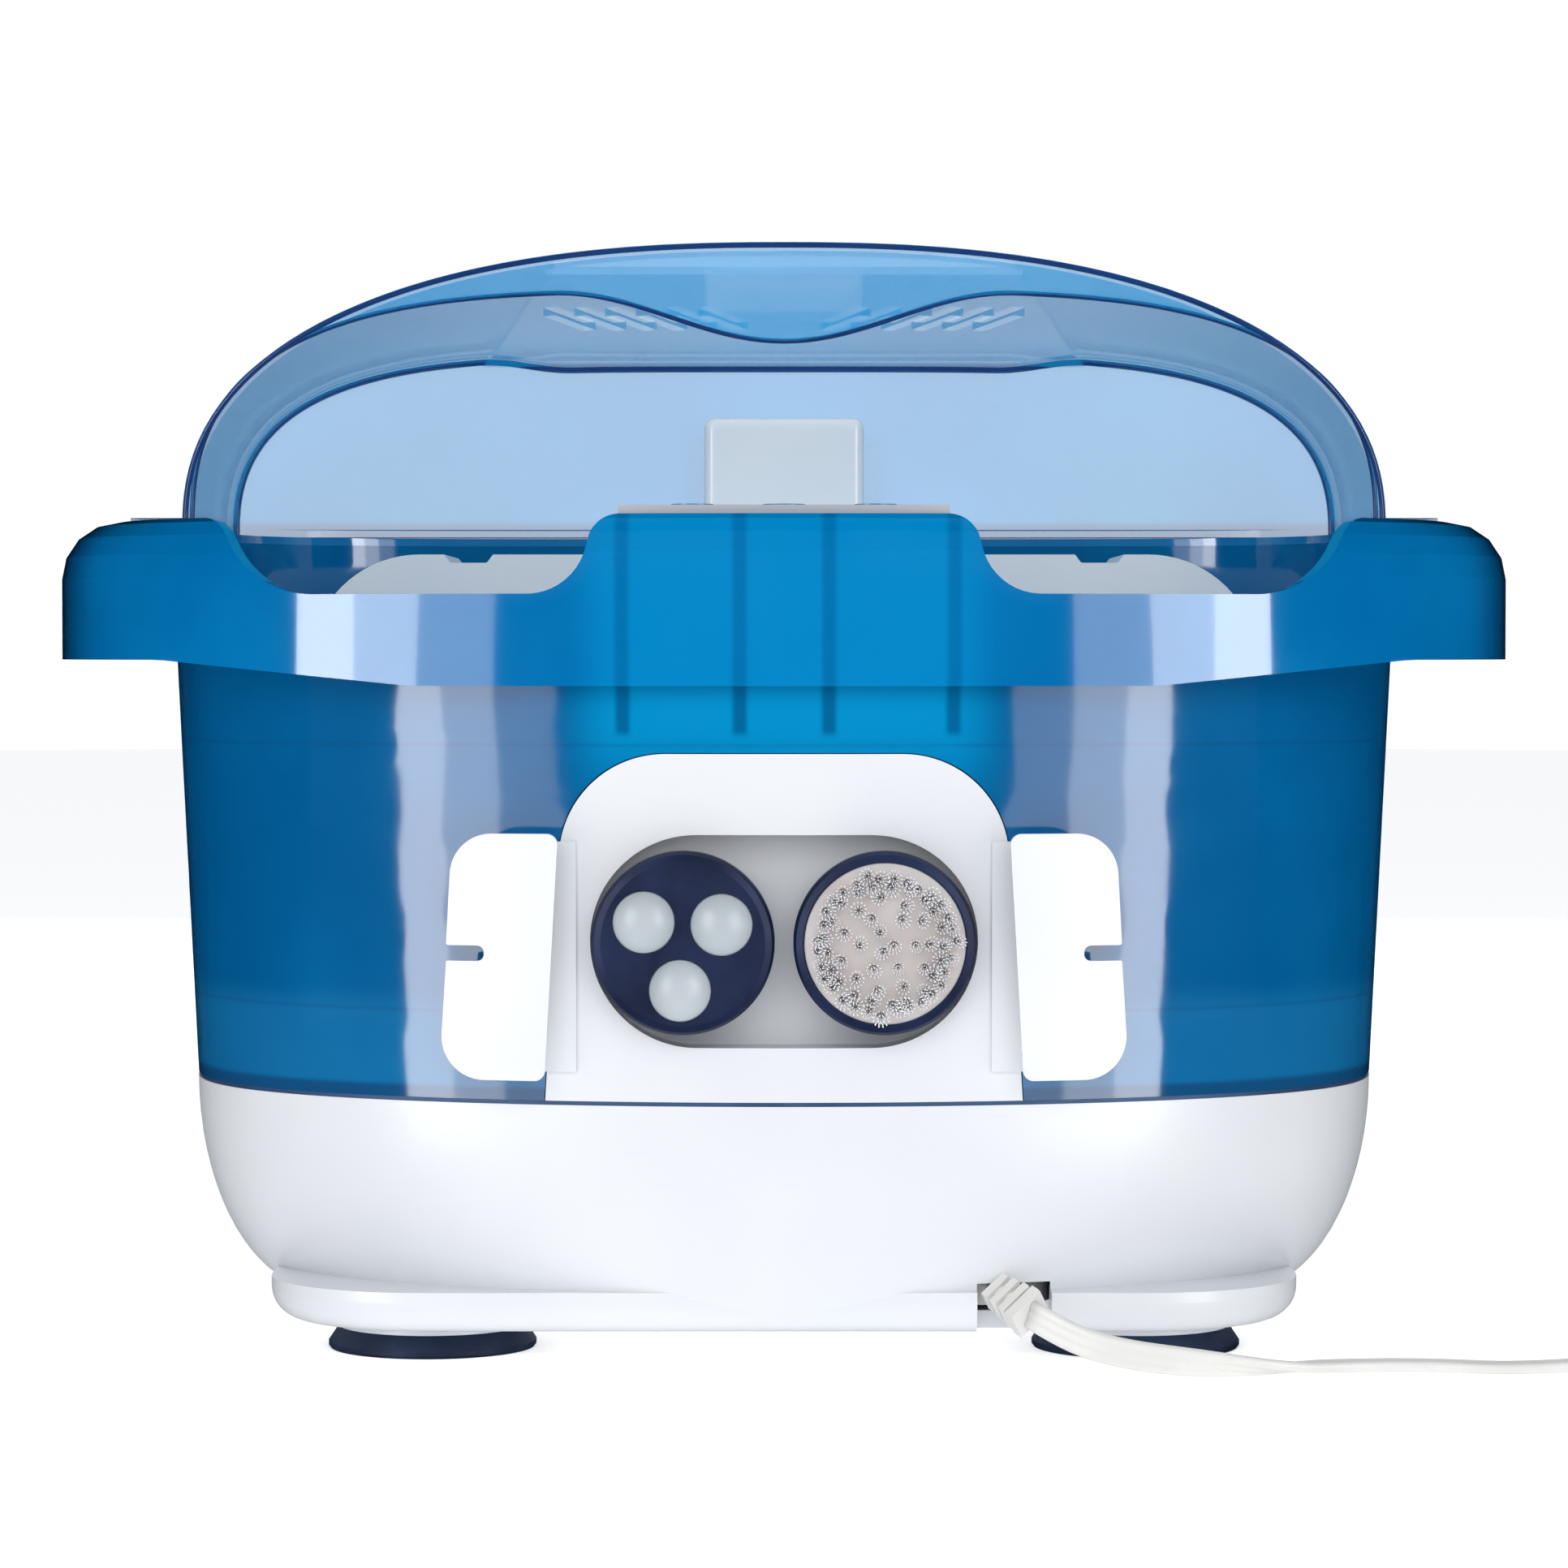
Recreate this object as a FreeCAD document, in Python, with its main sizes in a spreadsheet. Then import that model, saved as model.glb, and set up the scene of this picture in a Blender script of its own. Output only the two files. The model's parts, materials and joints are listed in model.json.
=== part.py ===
import FreeCAD, Part
import math
import os
import Sketcher
from FreeCAD import Placement, Rotation, Vector

# A foot spa basin with a lift-off splash guard.
# X runs to the right, Y runs to the back, Z runs up. The side a person sits at is -Y.
# The origin is on the floor, under the middle of the object. All lengths are millimetres.

SIZES = {
    # mouldings
    "wall": 2.6,
    # tub
    "tub_half_foot": 179.2,
    "tub_half_mouth": 187.2,
    "tub_front_foot": 157.5,
    "tub_front_mouth": 163.0,
    "tub_rear_foot": 161.0,
    "tub_rear_mouth": 165.0,
    "tub_bottom": 75.6,
    "floor_under": 89.4,
    "floor_top": 92.0,
    "block_half": 73.0,
    "block_back": -115.0,
    "rib_thick": 2.6,
    "rib_deep": 9.0,
    "rib_bottom": 177.7,
    "rib_top": 236.0,
    # rim apron
    "wing_half": 220.0,
    "apron_front": 170.0,
    "apron_rear": 176.0,
    "rim_top": 241.0,
    "dip_top": 218.6,
    "skirt_low": 192.8,
    "skirt_high": 200.0,
    "wing_round": 17.0,
    # base housing
    "base_top": 74.4,
    "base_drop": 63.4,
    "base_inset": 35.0,
    "plinth_half": 149.5,
    "plinth_deep": 150.0,
    "plinth_bottom": 9.0,
    "plinth_top": 21.0,
    "plinth_corner": 47.0,
    "plinth_edge": 9.0,
    # feet
    "foot_across": 102.5,
    "foot_along": 105.0,
    "boss_radius": 27.3,
    "boss_bottom": 6.4,
    "cup_radius": 30.25,
    "cup_lip": 2.0,
    "peg_radius": 4.0,
    "peg_top": 13.0,
    # splash guard
    "guard_front": -4.0,
    "guard_back": 152.0,
    "guard_base": 241.3,
    "front_arch_half": 187.0,
    "front_arch_high": 88.2,
    "rear_arch_half": 189.0,
    "rear_arch_high": 63.8,
    "lip_half": 184.0,
    "lip_high": 73.0,
    "tongue_half": 72.0,
    "tongue_drop": 15.6,
    "roof_sink": 4.4,
    # waterfall console
    "console_half": 155.0,
    "console_front": 75.0,
    "console_back": 150.0,
    "console_top": 234.0,
    "tower_half": 26.7,
    "tower_front": 120.0,
    "tower_back": 148.0,
    "tower_top": 280.6,
    # attachment panel
    "window_low_half": 67.8,
    "window_top_half": 62.0,
    "window_top": 174.0,
    "recess_half": 54.6,
    "recess_low": 91.0,
    "recess_high": 151.0,
    "recess_floor": -143.0,
    "flap_stand": 12.0,
    "flap_thick": 2.8,
    # massage heads
    "head_radius": 25.6,
    "head_centre": 28.2,
    "head_height": 121.0,
    "head_face": -169.4,
    "head_seat": -147.0,
    "spigot_radius": 5.0,
    "ball_radius": 10.0,
    # controls
    "bezel_half": 46.5,
    "bezel_high": 2.5,
    "button_radius": 6.0,
    # cord
    "cord_thick": 4.4,
    "coil_inner": 35.5,
    "coil_outer": 57.0,
    "coil_high": 9.0,
}

FRONT_POWERS = (2.0, 3.2)
REAR_POWERS = (5.5, 4.5)
OUTLINE_STEPS = 64
RIB_PLACES = (-45.3, -12.4, 12.6, 47.6)
SCREW_PLACES = ((-70, -118), (70, -118), (-138, 0), (138, 0), (-70, 118), (70, 118))
CORNERS = {"front_left": (-1, -1), "front_right": (1, -1), "rear_left": (-1, 1), "rear_right": (1, 1)}

doc = FreeCAD.newDocument("FootSpaBasin")
pieces = []


# ---------------------------------------------------------------- the sheet of sizes


def make_sheet():
    sheet = doc.addObject("Spreadsheet::Sheet", "dims")
    for row, (name, value) in enumerate(SIZES.items(), start=1):
        sheet.set(f"A{row}", name)
        sheet.set(f"B{row}", str(value))
        sheet.setAlias(f"B{row}", name)
    doc.recompute()


class Size:
    """A length that knows its value and the sheet formula that gives it."""

    def __init__(self, text, value):
        self.text = text
        self.value = value

    def join(self, sign, other, value):
        return Size(f"({self.text} {sign} {text_of(other)})", value)

    def __add__(self, other):
        return self.join("+", other, self.value + value_of(other))

    def __sub__(self, other):
        return self.join("-", other, self.value - value_of(other))

    def __rsub__(self, other):
        return -(self - other)

    def __mul__(self, other):
        return self.join("*", other, self.value * value_of(other))

    def __neg__(self):
        return Size(f"(0 - {self.text})", -self.value)


def text_of(size):
    return size.text if isinstance(size, Size) else str(float(size))


def value_of(size):
    return size.value if isinstance(size, Size) else float(size)


def dim(name):
    return Size(f"dims.{name}", SIZES[name])


# ---------------------------------------------------------------- building helpers


def bind(item, prop, size):
    item.setExpression(prop, text_of(size))


def put(item, x=0, y=0, z=0, turn=None):
    """Place an object, its position bound to the sheet."""
    if turn is not None:
        item.Placement = Placement(Vector(0, 0, 0), turn)
    for axis, size in zip("xyz", (x, y, z)):
        bind(item, f"Placement.Base.{axis}", size)
    return item


def keep(item, label):
    """Give a finished sub-part its name."""
    item.Label = label
    pieces.append(item)
    return item


def block(name, x, y, z):
    """A box between two limits along each axis."""
    item = doc.addObject("Part::Box", name)
    for prop, (low, high) in zip(("Length", "Width", "Height"), (x, y, z)):
        bind(item, prop, high - low)
    return put(item, x[0], y[0], z[0])


def rod(name, radius, length, x=0, y=0, z=0, turn=None):
    item = doc.addObject("Part::Cylinder", name)
    bind(item, "Radius", radius)
    bind(item, "Height", length)
    return put(item, x, y, z, turn)


def cut(name, base, tool):
    item = doc.addObject("Part::Cut", name)
    item.Base = base
    item.Tool = tool
    return item


def fuse(name, shapes):
    item = doc.addObject("Part::MultiFuse", name)
    item.Shapes = shapes
    return item


def group(name, shapes):
    item = doc.addObject("Part::Compound", name)
    item.Links = shapes
    return item


def plane_of(body, role):
    return next(item for item in body.Origin.OriginFeatures if item.Role == role)


def draw(sketch, corners):
    """A closed outline of straight sides, each corner held by the sheet."""
    count = len(corners)
    for index in range(count):
        here = Vector(*(value_of(size) for size in corners[index]), 0)
        there = Vector(*(value_of(size) for size in corners[(index + 1) % count]), 0)
        sketch.addGeometry(Part.LineSegment(here, there), False)
    for index in range(count):
        sketch.addConstraint(Sketcher.Constraint("Coincident", index, 2, (index + 1) % count, 1))
    for index, (across, up) in enumerate(corners):
        hold(sketch, "DistanceX", index, across, -2)
        hold(sketch, "DistanceY", index, up, -1)


def hold(sketch, kind, index, size, axis):
    """Fix one coordinate of the start of a side, or lay it on the axis when it is zero."""
    if value_of(size) == 0:
        sketch.addConstraint(Sketcher.Constraint("PointOnObject", index, 1, axis))
        return
    number = sketch.addConstraint(Sketcher.Constraint(kind, -1, 1, index, 1, value_of(size)))
    sketch.setExpression(f"Constraints[{number}]", text_of(size))


def sketched(name, role, corners):
    body = doc.addObject("PartDesign::Body", name)
    sketch = body.newObject("Sketcher::SketchObject", name + "_outline")
    sketch.AttachmentSupport = [(plane_of(body, role), "")]
    sketch.MapMode = "FlatFace"
    draw(sketch, corners)
    return body, sketch


def turned(name, corners):
    """A solid of revolution about Z from (radius, height) corners."""
    body, sketch = sketched(name, "XZ_Plane", corners)
    spin = body.newObject("PartDesign::Revolution", name + "_spin")
    spin.Profile = sketch
    spin.ReferenceAxis = (sketch, ["V_Axis"])
    spin.Angle = 360
    body.Tip = spin
    return body


def padded(name, corners, height):
    """A flat plate in XY with straight sides."""
    body, sketch = sketched(name, "XY_Plane", corners)
    pad = body.newObject("PartDesign::Pad", name + "_pad")
    pad.Profile = sketch
    bind(pad, "Length", height)
    body.Tip = pad
    return body


def feature(name, shape):
    """A shape that needs curves of its own, kept as one document object."""
    item = doc.addObject("Part::Feature", name)
    item.Shape = shape
    return item


# ---------------------------------------------------------------- curved shapes


def power(value, exponent):
    return math.copysign(abs(value) ** exponent, value)


def outline(half, front, rear, height):
    """A closed plan curve: an oval front and a squarer back."""
    points = []
    for step in range(OUTLINE_STEPS):
        turn = 2 * math.pi * step / OUTLINE_STEPS
        depth, (across_power, along_power) = (rear, REAR_POWERS) if turn <= math.pi else (front, FRONT_POWERS)
        x = half * power(math.cos(turn), 2 / across_power)
        y = depth * power(math.sin(turn), 2 / along_power)
        points.append(Vector(x, y, height))
    curve = Part.BSplineCurve()
    curve.interpolate(Points=points, PeriodicFlag=True)
    return Part.Wire(curve.toShape())


def tub_outline(height, inset):
    """The tub's wall flares a little from the seam to the mouth."""
    low, high = SIZES["tub_bottom"], SIZES["rim_top"]
    share = (height - low) / (high - low)
    half, front, rear = (
        SIZES[name + "_foot"] + share * (SIZES[name + "_mouth"] - SIZES[name + "_foot"]) - inset
        for name in ("tub_half", "tub_front", "tub_rear")
    )
    return outline(half, front, rear, height)


def tub_solid(low, high, inset):
    return Part.makeLoft([tub_outline(low, inset), tub_outline(high, inset)], True, True)


def rounded_wire(corners):
    """A closed wire in the XZ plane from (x, z, radius) corners, with arcs at the rounded ones."""
    count = len(corners)
    starts, ends, middles = [], [], []
    for index, (x, z, radius) in enumerate(corners):
        here = Vector(x, 0, z)
        before = Vector(corners[index - 1][0], 0, corners[index - 1][1])
        after = Vector(corners[(index + 1) % count][0], 0, corners[(index + 1) % count][1])
        back = (before - here).normalize()
        ahead = (after - here).normalize()
        half_angle = back.getAngle(ahead) / 2
        reach = radius / math.tan(half_angle)
        bisector = (back + ahead).normalize()
        starts.append(here + back * reach)
        ends.append(here + ahead * reach)
        middles.append(here + bisector * (radius / math.sin(half_angle) - radius))
    edges = []
    for index in range(count):
        if corners[index][2] > 0:
            edges.append(Part.Arc(starts[index], middles[index], ends[index]).toShape())
        edges.append(Part.LineSegment(ends[index], starts[(index + 1) % count]).toShape())
    return Part.Wire(edges)


def prism(wire, low, high):
    """A wire of the XZ plane drawn out along Y."""
    face = Part.Face(wire)
    face.translate(Vector(0, low, 0))
    return face.extrude(Vector(0, high - low, 0))


def mirrored_corners(half):
    """The right half of an outline, and the same corners on the left."""
    return half + [(-x, z, radius) for x, z, radius in reversed(half)]


def rim_section(lowered):
    """Everything under the rim's top: the two wings, the two leg dips and the middle bump."""
    top, dip = SIZES["rim_top"], SIZES["dip_top"]
    far, deep = SIZES["wing_half"] + 15, 10.0
    right = [(53.0, top, 9.0), (58.5, dip, 17.0), (151.0, dip, 28.0), (162.0, top, 9.0)]
    right += [(far, top, 0.0), (far, deep, 0.0)]
    wire = rounded_wire(mirrored_corners(right))
    return wire.makeOffset2D(-lowered) if lowered else wire


def under_rim(lowered):
    """A solid that holds everything below the rim's top surface."""
    far = SIZES["wing_half"] + 15
    front = prism(rim_section(lowered), -far, 0)
    top = SIZES["rim_top"] - lowered
    back = Part.makeBox(2 * far, far, top - 20, Vector(-far, 0, 20))
    return front.fuse(back)


# ---------------------------------------------------------------- tub and rim


def make_tub():
    wall = SIZES["wall"]
    bottom, under, floor = SIZES["tub_bottom"], SIZES["floor_under"], SIZES["floor_top"]
    top = SIZES["rim_top"]
    outer = tub_solid(bottom, top, 0)
    shell = outer.cut(tub_solid(floor, top + 2, wall)).cut(tub_solid(bottom - 2, under, wall))
    half, back = SIZES["block_half"], SIZES["block_back"]
    block_shape = Part.makeBox(2 * half, 200, top - bottom, Vector(-half, back - 200, bottom))
    hollow = Part.makeBox(2 * (half - wall), 200, top, Vector(-half + wall, back - wall - 200, bottom - 2))
    inner = tub_solid(bottom - 2, top + 2, wall)
    shell = shell.fuse(block_shape.common(outer)).cut(hollow.common(inner))
    shell = shell.fuse(tub_ribs(inner)).fuse(board_ledge())
    for x, y in SCREW_PLACES:
        post = Part.makeCylinder(5, under - 30, Vector(x, y, 30))
        shell = shell.fuse(post)
    for x, y in SCREW_PLACES:
        shell = shell.cut(Part.makeCylinder(1.95, 25, Vector(x, y, 29)))
    for x, y in TUB_HOLES:
        shell = shell.cut(Part.makeCylinder(5.1, 10, Vector(x, y, 85)))
    shell = shell.cut(prism(window_wire(0), -190, -130)).common(under_rim(wall + 0.05))
    keep(feature("Tub", shell.removeSplitter()), "tub")


TUB_HOLES = ((0, 104), (0, 134), (-95, 44))


def tub_ribs(inner):
    """Four upright ribs behind the front wall, inside the dry block."""
    thick, deep = SIZES["rib_thick"], SIZES["rib_deep"]
    low, high = SIZES["rib_bottom"], SIZES["rib_top"]
    front = -SIZES["tub_front_mouth"]
    ribs = [
        Part.makeBox(thick, deep + 2.6, high - low, Vector(x - thick / 2, front, low)).common(inner)
        for x in RIB_PLACES
    ]
    return ribs[0].multiFuse(ribs[1:])


def board_ledge():
    """A shelf on the block's back wall that carries the circuit board's rear edge."""
    back = SIZES["block_back"] - SIZES["wall"]
    return Part.makeBox(80, 4, 6, Vector(-40, back - 3.5, SIZES["rib_top"] - 6))


def make_apron():
    wall, top = SIZES["wall"], SIZES["rim_top"]
    outer = apron_solid(0).common(under_rim(0))
    inner = apron_solid(wall).common(under_rim(wall))
    mouth = tub_solid(top - 60, top + 5, wall)
    half, back = SIZES["block_half"] + 1, SIZES["block_back"] + 2
    mouth = mouth.cut(Part.makeBox(2 * half, 200, 90, Vector(-half, back - 200, top - 70)))
    shell = outer.cut(inner).cut(mouth)
    low, high = SIZES["skirt_low"], SIZES["skirt_high"]
    far = SIZES["wing_half"] + 20
    below = [(105.0, low, 40.0), (180.0, high, 40.0), (far, high, 0.0), (far, 100.0, 0.0)]
    shell = shell.cut(prism(rounded_wire(mirrored_corners(below)), -far, far))
    for x in BUTTON_PLACES:
        hole = Part.makeCylinder(SIZES["button_radius"] + 0.2, 10, Vector(x, BUTTON_ROW, top - 6))
        shell = shell.cut(hole)
    keep(feature("RimApron", shell.removeSplitter()), "rim_apron")


BUTTON_PLACES = (-26.0, 0.0, 26.0)
BUTTON_ROW = -141.0


def apron_solid(inset):
    """The apron's outer form, rounded over towards its top edge."""
    side = SIZES["wing_round"]
    top = SIZES["rim_top"]
    wires = [apron_outline(inset, 0, top - 60)]
    for step in range(5):
        angle = math.radians(22.5 * step)
        rise = side * (1 - math.sin(angle))
        wires.append(apron_outline(inset, 1 - math.cos(angle), top - rise))
    return Part.makeLoft(wires, True, True)


def apron_outline(inset, share, height):
    """The plan of the apron: the rounding draws in more at the wings than at the front."""
    side = SIZES["wing_round"] * share
    front = 5.0 * share
    half = SIZES["wing_half"] - inset - side
    return outline(half, SIZES["apron_front"] - inset - front, SIZES["apron_rear"] - inset - front, height)


# ---------------------------------------------------------------- base


def base_outline(angle, inset, drop):
    """One level of the base: its wall curves in under the object along a quarter ellipse."""
    draw_in = SIZES["base_inset"] * (1 - math.cos(angle))
    height = SIZES["base_top"] - drop * math.sin(angle)
    half = SIZES["tub_half_foot"] - inset - draw_in
    front = SIZES["tub_front_foot"] - inset - 0.35 * draw_in
    rear = SIZES["tub_rear_foot"] - inset - 0.35 * draw_in
    return outline(half, front, rear, height)


def base_solid(inset, drop):
    levels = [base_outline(math.radians(15 * step), inset, drop) for step in range(7)]
    return Part.makeLoft(levels, True, False)


def make_base():
    drop, inside = SIZES["base_drop"], SIZES["base_drop"] - 3.0
    shell = base_solid(0, drop).fuse(make_plinth())
    for across, along in CORNERS.values():
        centre = Vector(across * SIZES["foot_across"], along * SIZES["foot_along"], SIZES["boss_bottom"])
        shell = shell.fuse(Part.makeCylinder(SIZES["boss_radius"], 9, centre))
    shell = shell.cut(base_solid(2.8, inside))
    for x, y in SCREW_PLACES:
        shell = shell.fuse(Part.makeCylinder(6.5, 18.8, Vector(x, y, 11)))
    for x, y in SCREW_PLACES:
        shell = shell.cut(Part.makeCylinder(2.2, 40, Vector(x, y, 5)))
        shell = shell.cut(Part.makeCylinder(4.6, 14, Vector(x, y, 6)))
    for across, along in CORNERS.values():
        centre = Vector(across * SIZES["foot_across"], along * SIZES["foot_along"], 0)
        shell = shell.cut(Part.makeCylinder(SIZES["peg_radius"] + 0.05, 20, centre))
    notch = Part.makeBox(21.1, 24, 17.3, Vector(54.7, -158, 6))
    vents = [Part.makeBox(50, 3, 12, Vector(-25, 30 + 9 * step, 4)) for step in range(4)]
    shell = shell.cut(notch).cut(vents[0].multiFuse(vents[1:]))
    keep(feature("BaseHousing", shell.removeSplitter()), "base_housing")


def make_plinth():
    """The stepped foot of the base: a rounded square with a well rounded lower edge."""
    half, deep = SIZES["plinth_half"], SIZES["plinth_deep"]
    low, high = SIZES["plinth_bottom"], SIZES["plinth_top"]
    box = Part.makeBox(2 * half, 2 * deep, high - low, Vector(-half, -deep, low))
    upright = [edge for edge in box.Edges if abs(edge.tangentAt(edge.FirstParameter).z) > 0.9]
    box = box.makeFillet(SIZES["plinth_corner"], upright)
    under = [edge for edge in box.Edges if edge.BoundBox.ZMax < low + 0.01]
    return box.makeFillet(SIZES["plinth_edge"], under)


def make_seal():
    low, high = SIZES["base_top"], SIZES["tub_bottom"]
    outer = Part.makeLoft([tub_level(low, 0.5), tub_level(high, 0.5)], True, True)
    inner = Part.makeLoft([tub_level(low - 1, 2.3), tub_level(high + 1, 2.3)], True, True)
    keep(feature("BaseSeal", outer.cut(inner)), "base_seal")


def tub_level(height, inset):
    sizes = (SIZES[name] - inset for name in ("tub_half_foot", "tub_front_foot", "tub_rear_foot"))
    return outline(*sizes, height)


def make_feet():
    """Four rubber suction cups, each pressed into its boss by a peg."""
    radius, lip, top = dim("cup_radius"), dim("cup_lip"), dim("boss_bottom")
    peg, peg_top = dim("peg_radius"), dim("peg_top")
    for name, (across, along) in CORNERS.items():
        profile = [
            (0, 3.2), (radius * 0.6, 2.6), (radius - 1.6, 0), (radius - 0.6, 0), (radius, lip * 0.4),
            (radius, lip), (dim("boss_radius"), top), (peg, top), (peg, peg_top), (0, peg_top),
        ]
        foot = turned("foot_" + name, profile)
        put(foot, dim("foot_across") * across, dim("foot_along") * along, 0)
        keep(foot, "suction_foot_" + name)


def make_housing_screws():
    """Six self-tapping screws that hold the base up to the tub's posts."""
    screws = []
    for number, (x, y) in enumerate(SCREW_PLACES):
        profile = [(0, 0), (3.6, 0), (4.2, 0.8), (4.2, 2.6), (1.9, 2.6), (1.9, 24.0), (0.6, 26.0), (0, 26.0)]
        screws.append(put(turned(f"Screw{number}", profile), x, y, 17.4))
    keep(group("HousingScrews", screws), "housing_screws")


# ---------------------------------------------------------------- splash guard


def arch_points(half, high, powers, base, steps=24):
    points = []
    for step in range(steps + 1):
        turn = math.pi * step / steps
        x = half * power(math.cos(turn), 2 / powers[0])
        z = base + high * power(math.sin(turn), 2 / powers[1]) if 0 < step < steps else base
        points.append((x, z))
    return points


def arch_wire(half, high, powers, along, foot):
    """An arch in an XZ plane that stands on two short uprights."""
    base = SIZES["guard_base"]
    points = [Vector(x, along, z) for x, z in arch_points(half, high, powers, base)]
    curve = Part.BSplineCurve()
    curve.interpolate(Points=points)
    return Part.Wire(standing_edges(curve, foot))


def standing_edges(curve, foot):
    """A curve, an upright under each of its ends, and a line that joins their feet."""
    start, end = curve.StartPoint, curve.EndPoint
    right, left = start - Vector(0, 0, foot), end - Vector(0, 0, foot)
    edges = [(right, start), (end, left), (left, right)]
    uprights = [Part.LineSegment(low, high).toShape() for low, high in edges]
    return [uprights[0], curve.toShape(), uprights[1], uprights[2]]


FRONT_ARCH = (2.4, 2.3)
REAR_ARCH = (4.5, 2.5)
LIP_ARCH = (4.0, 2.5)


def guard_solid(inset, front, back, foot):
    half_front, high_front = SIZES["front_arch_half"] - inset, SIZES["front_arch_high"] - inset
    half_rear, high_rear = SIZES["rear_arch_half"] - inset, SIZES["rear_arch_high"] - inset
    near = arch_wire(half_front, high_front, FRONT_ARCH, front, foot)
    far = arch_wire(half_rear, high_rear, REAR_ARCH, back, foot)
    return Part.makeLoft([near, far], True, True)


def lip_opening(front, back):
    """The mouth of the guard: an arch with a rounded tongue hanging from the middle of its top."""
    base, tongue = SIZES["guard_base"], SIZES["tongue_half"]
    points = []
    for x, z in arch_points(SIZES["lip_half"], SIZES["lip_high"], LIP_ARCH, base, 36):
        share = max(0.0, 1 - abs(x) / tongue)
        drop = SIZES["tongue_drop"] * (1 - math.cos(math.pi * share)) / 2
        points.append(Vector(x, front, z - drop))
    curve = Part.BSplineCurve()
    curve.interpolate(Points=points)
    return Part.Face(Part.Wire(standing_edges(curve, 5))).extrude(Vector(0, back - front, 0))


def roof_panel(grow):
    """A wedge over the roof: what it takes away leaves a sunk flat panel, wider at the back."""
    front, back = SIZES["guard_front"] + 12, SIZES["guard_back"] + 5
    crown = SIZES["guard_base"] + SIZES["front_arch_high"] - SIZES["roof_sink"] - 2.5 - grow
    low = SIZES["guard_base"] + SIZES["rear_arch_high"] - SIZES["roof_sink"] - grow

    def level(along, half, floor):
        corners = [(-half, floor), (half, floor), (half, floor + 60), (-half, floor + 60), (-half, floor)]
        return Part.makePolygon([Vector(x, along, z) for x, z in corners])

    return Part.makeLoft([level(front - grow, 72 + grow, crown), level(back, 101 + grow, low)], True, True)


def make_splash_guard():
    wall, front, back = SIZES["wall"], SIZES["guard_front"], SIZES["guard_back"]
    outer = guard_solid(0, front, back, 0.1).cut(roof_panel(0))
    inner = guard_solid(wall, front + wall, back - wall, 6).cut(roof_panel(wall))
    base = SIZES["guard_base"]
    flat_half = SIZES["wing_half"] - 17
    plate = Part.Face(outline(flat_half, SIZES["apron_front"], SIZES["apron_rear"] - 3, base))
    flange = plate.extrude(Vector(0, 0, wall))
    flange = flange.common(Part.makeBox(500, 400, 20, Vector(-250, front, base - 5)))
    shell = outer.fuse(flange).cut(inner).cut(lip_opening(front - 5, front + wall + 1))
    shell = shell.cut(roof_slots())
    keep(feature("SplashGuard", shell.removeSplitter()), "splash_guard")


def roof_slots():
    """Two groups of slanted vent slots through the sunk panel."""
    slots = []
    for side in (-1, 1):
        for step in range(6):
            slot = Part.makeBox(4.5, 26, 60, Vector(-2.25, -13, 285))
            slot.rotate(Vector(0, 0, 0), Vector(0, 0, 1), side * 28)
            slot.translate(Vector(side * (20 + 10 * step), 78, 0))
            slots.append(slot)
    return slots[0].multiFuse(slots[1:])


# ---------------------------------------------------------------- inside the tub


def console_section(inset):
    """The console's front view: a flat top, round shoulders and a shallow notch on each side."""
    half, top = SIZES["console_half"] - inset, SIZES["console_top"] - inset
    low = SIZES["floor_top"] + (-5 if inset else 0.2)
    notch = 2.7 if not inset else 0.0
    right = [(half, top, 36.0), (half, low, 0.0)]
    if notch:
        dip = [(95.0, top, 0.0), (97.0, top - notch, 1.0), (109.0, top - notch, 1.0), (111.0, top, 0.0)]
        right = dip + right
    return rounded_wire(mirrored_corners(right))


def make_waterfall_console():
    wall, top = SIZES["wall"], SIZES["tower_top"]
    half, front, back = SIZES["tower_half"], SIZES["tower_front"], SIZES["tower_back"]
    room = tub_solid(SIZES["tub_bottom"], SIZES["rim_top"] + 60, wall + 0.4)
    shell = prism(console_section(0), SIZES["console_front"], SIZES["console_back"]).common(room)
    inside = prism(console_section(wall), SIZES["console_front"] + wall, SIZES["console_back"] - wall)
    inside = inside.common(tub_solid(SIZES["tub_bottom"], SIZES["rim_top"] + 60, 2 * wall + 0.4))
    tower = Part.makeBox(2 * half, back - front, top - 200, Vector(-half, front, 200))
    crown = [edge for edge in tower.Edges if edge.BoundBox.ZMax > 201]
    tower = tower.makeFillet(3.5, crown)
    throat = Part.makeBox(2 * (half - wall), back - front - 2 * wall, top - 200 - wall,
                          Vector(-half + wall, front + wall, 190))
    spout_drop = 37.0
    spout = Part.makeBox(40, 10, 5, Vector(-20, front - 3, top - spout_drop))
    grille = [Part.makeBox(2.5, 12, 22, Vector(-21.25 + 8 * step, SIZES["console_front"] - 4, 104))
              for step in range(6)]
    shell = shell.fuse(tower).cut(inside).cut(throat).cut(spout).cut(grille[0].multiFuse(grille[1:]))
    keep(feature("WaterfallConsole", shell.removeSplitter()), "waterfall_console")


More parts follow.
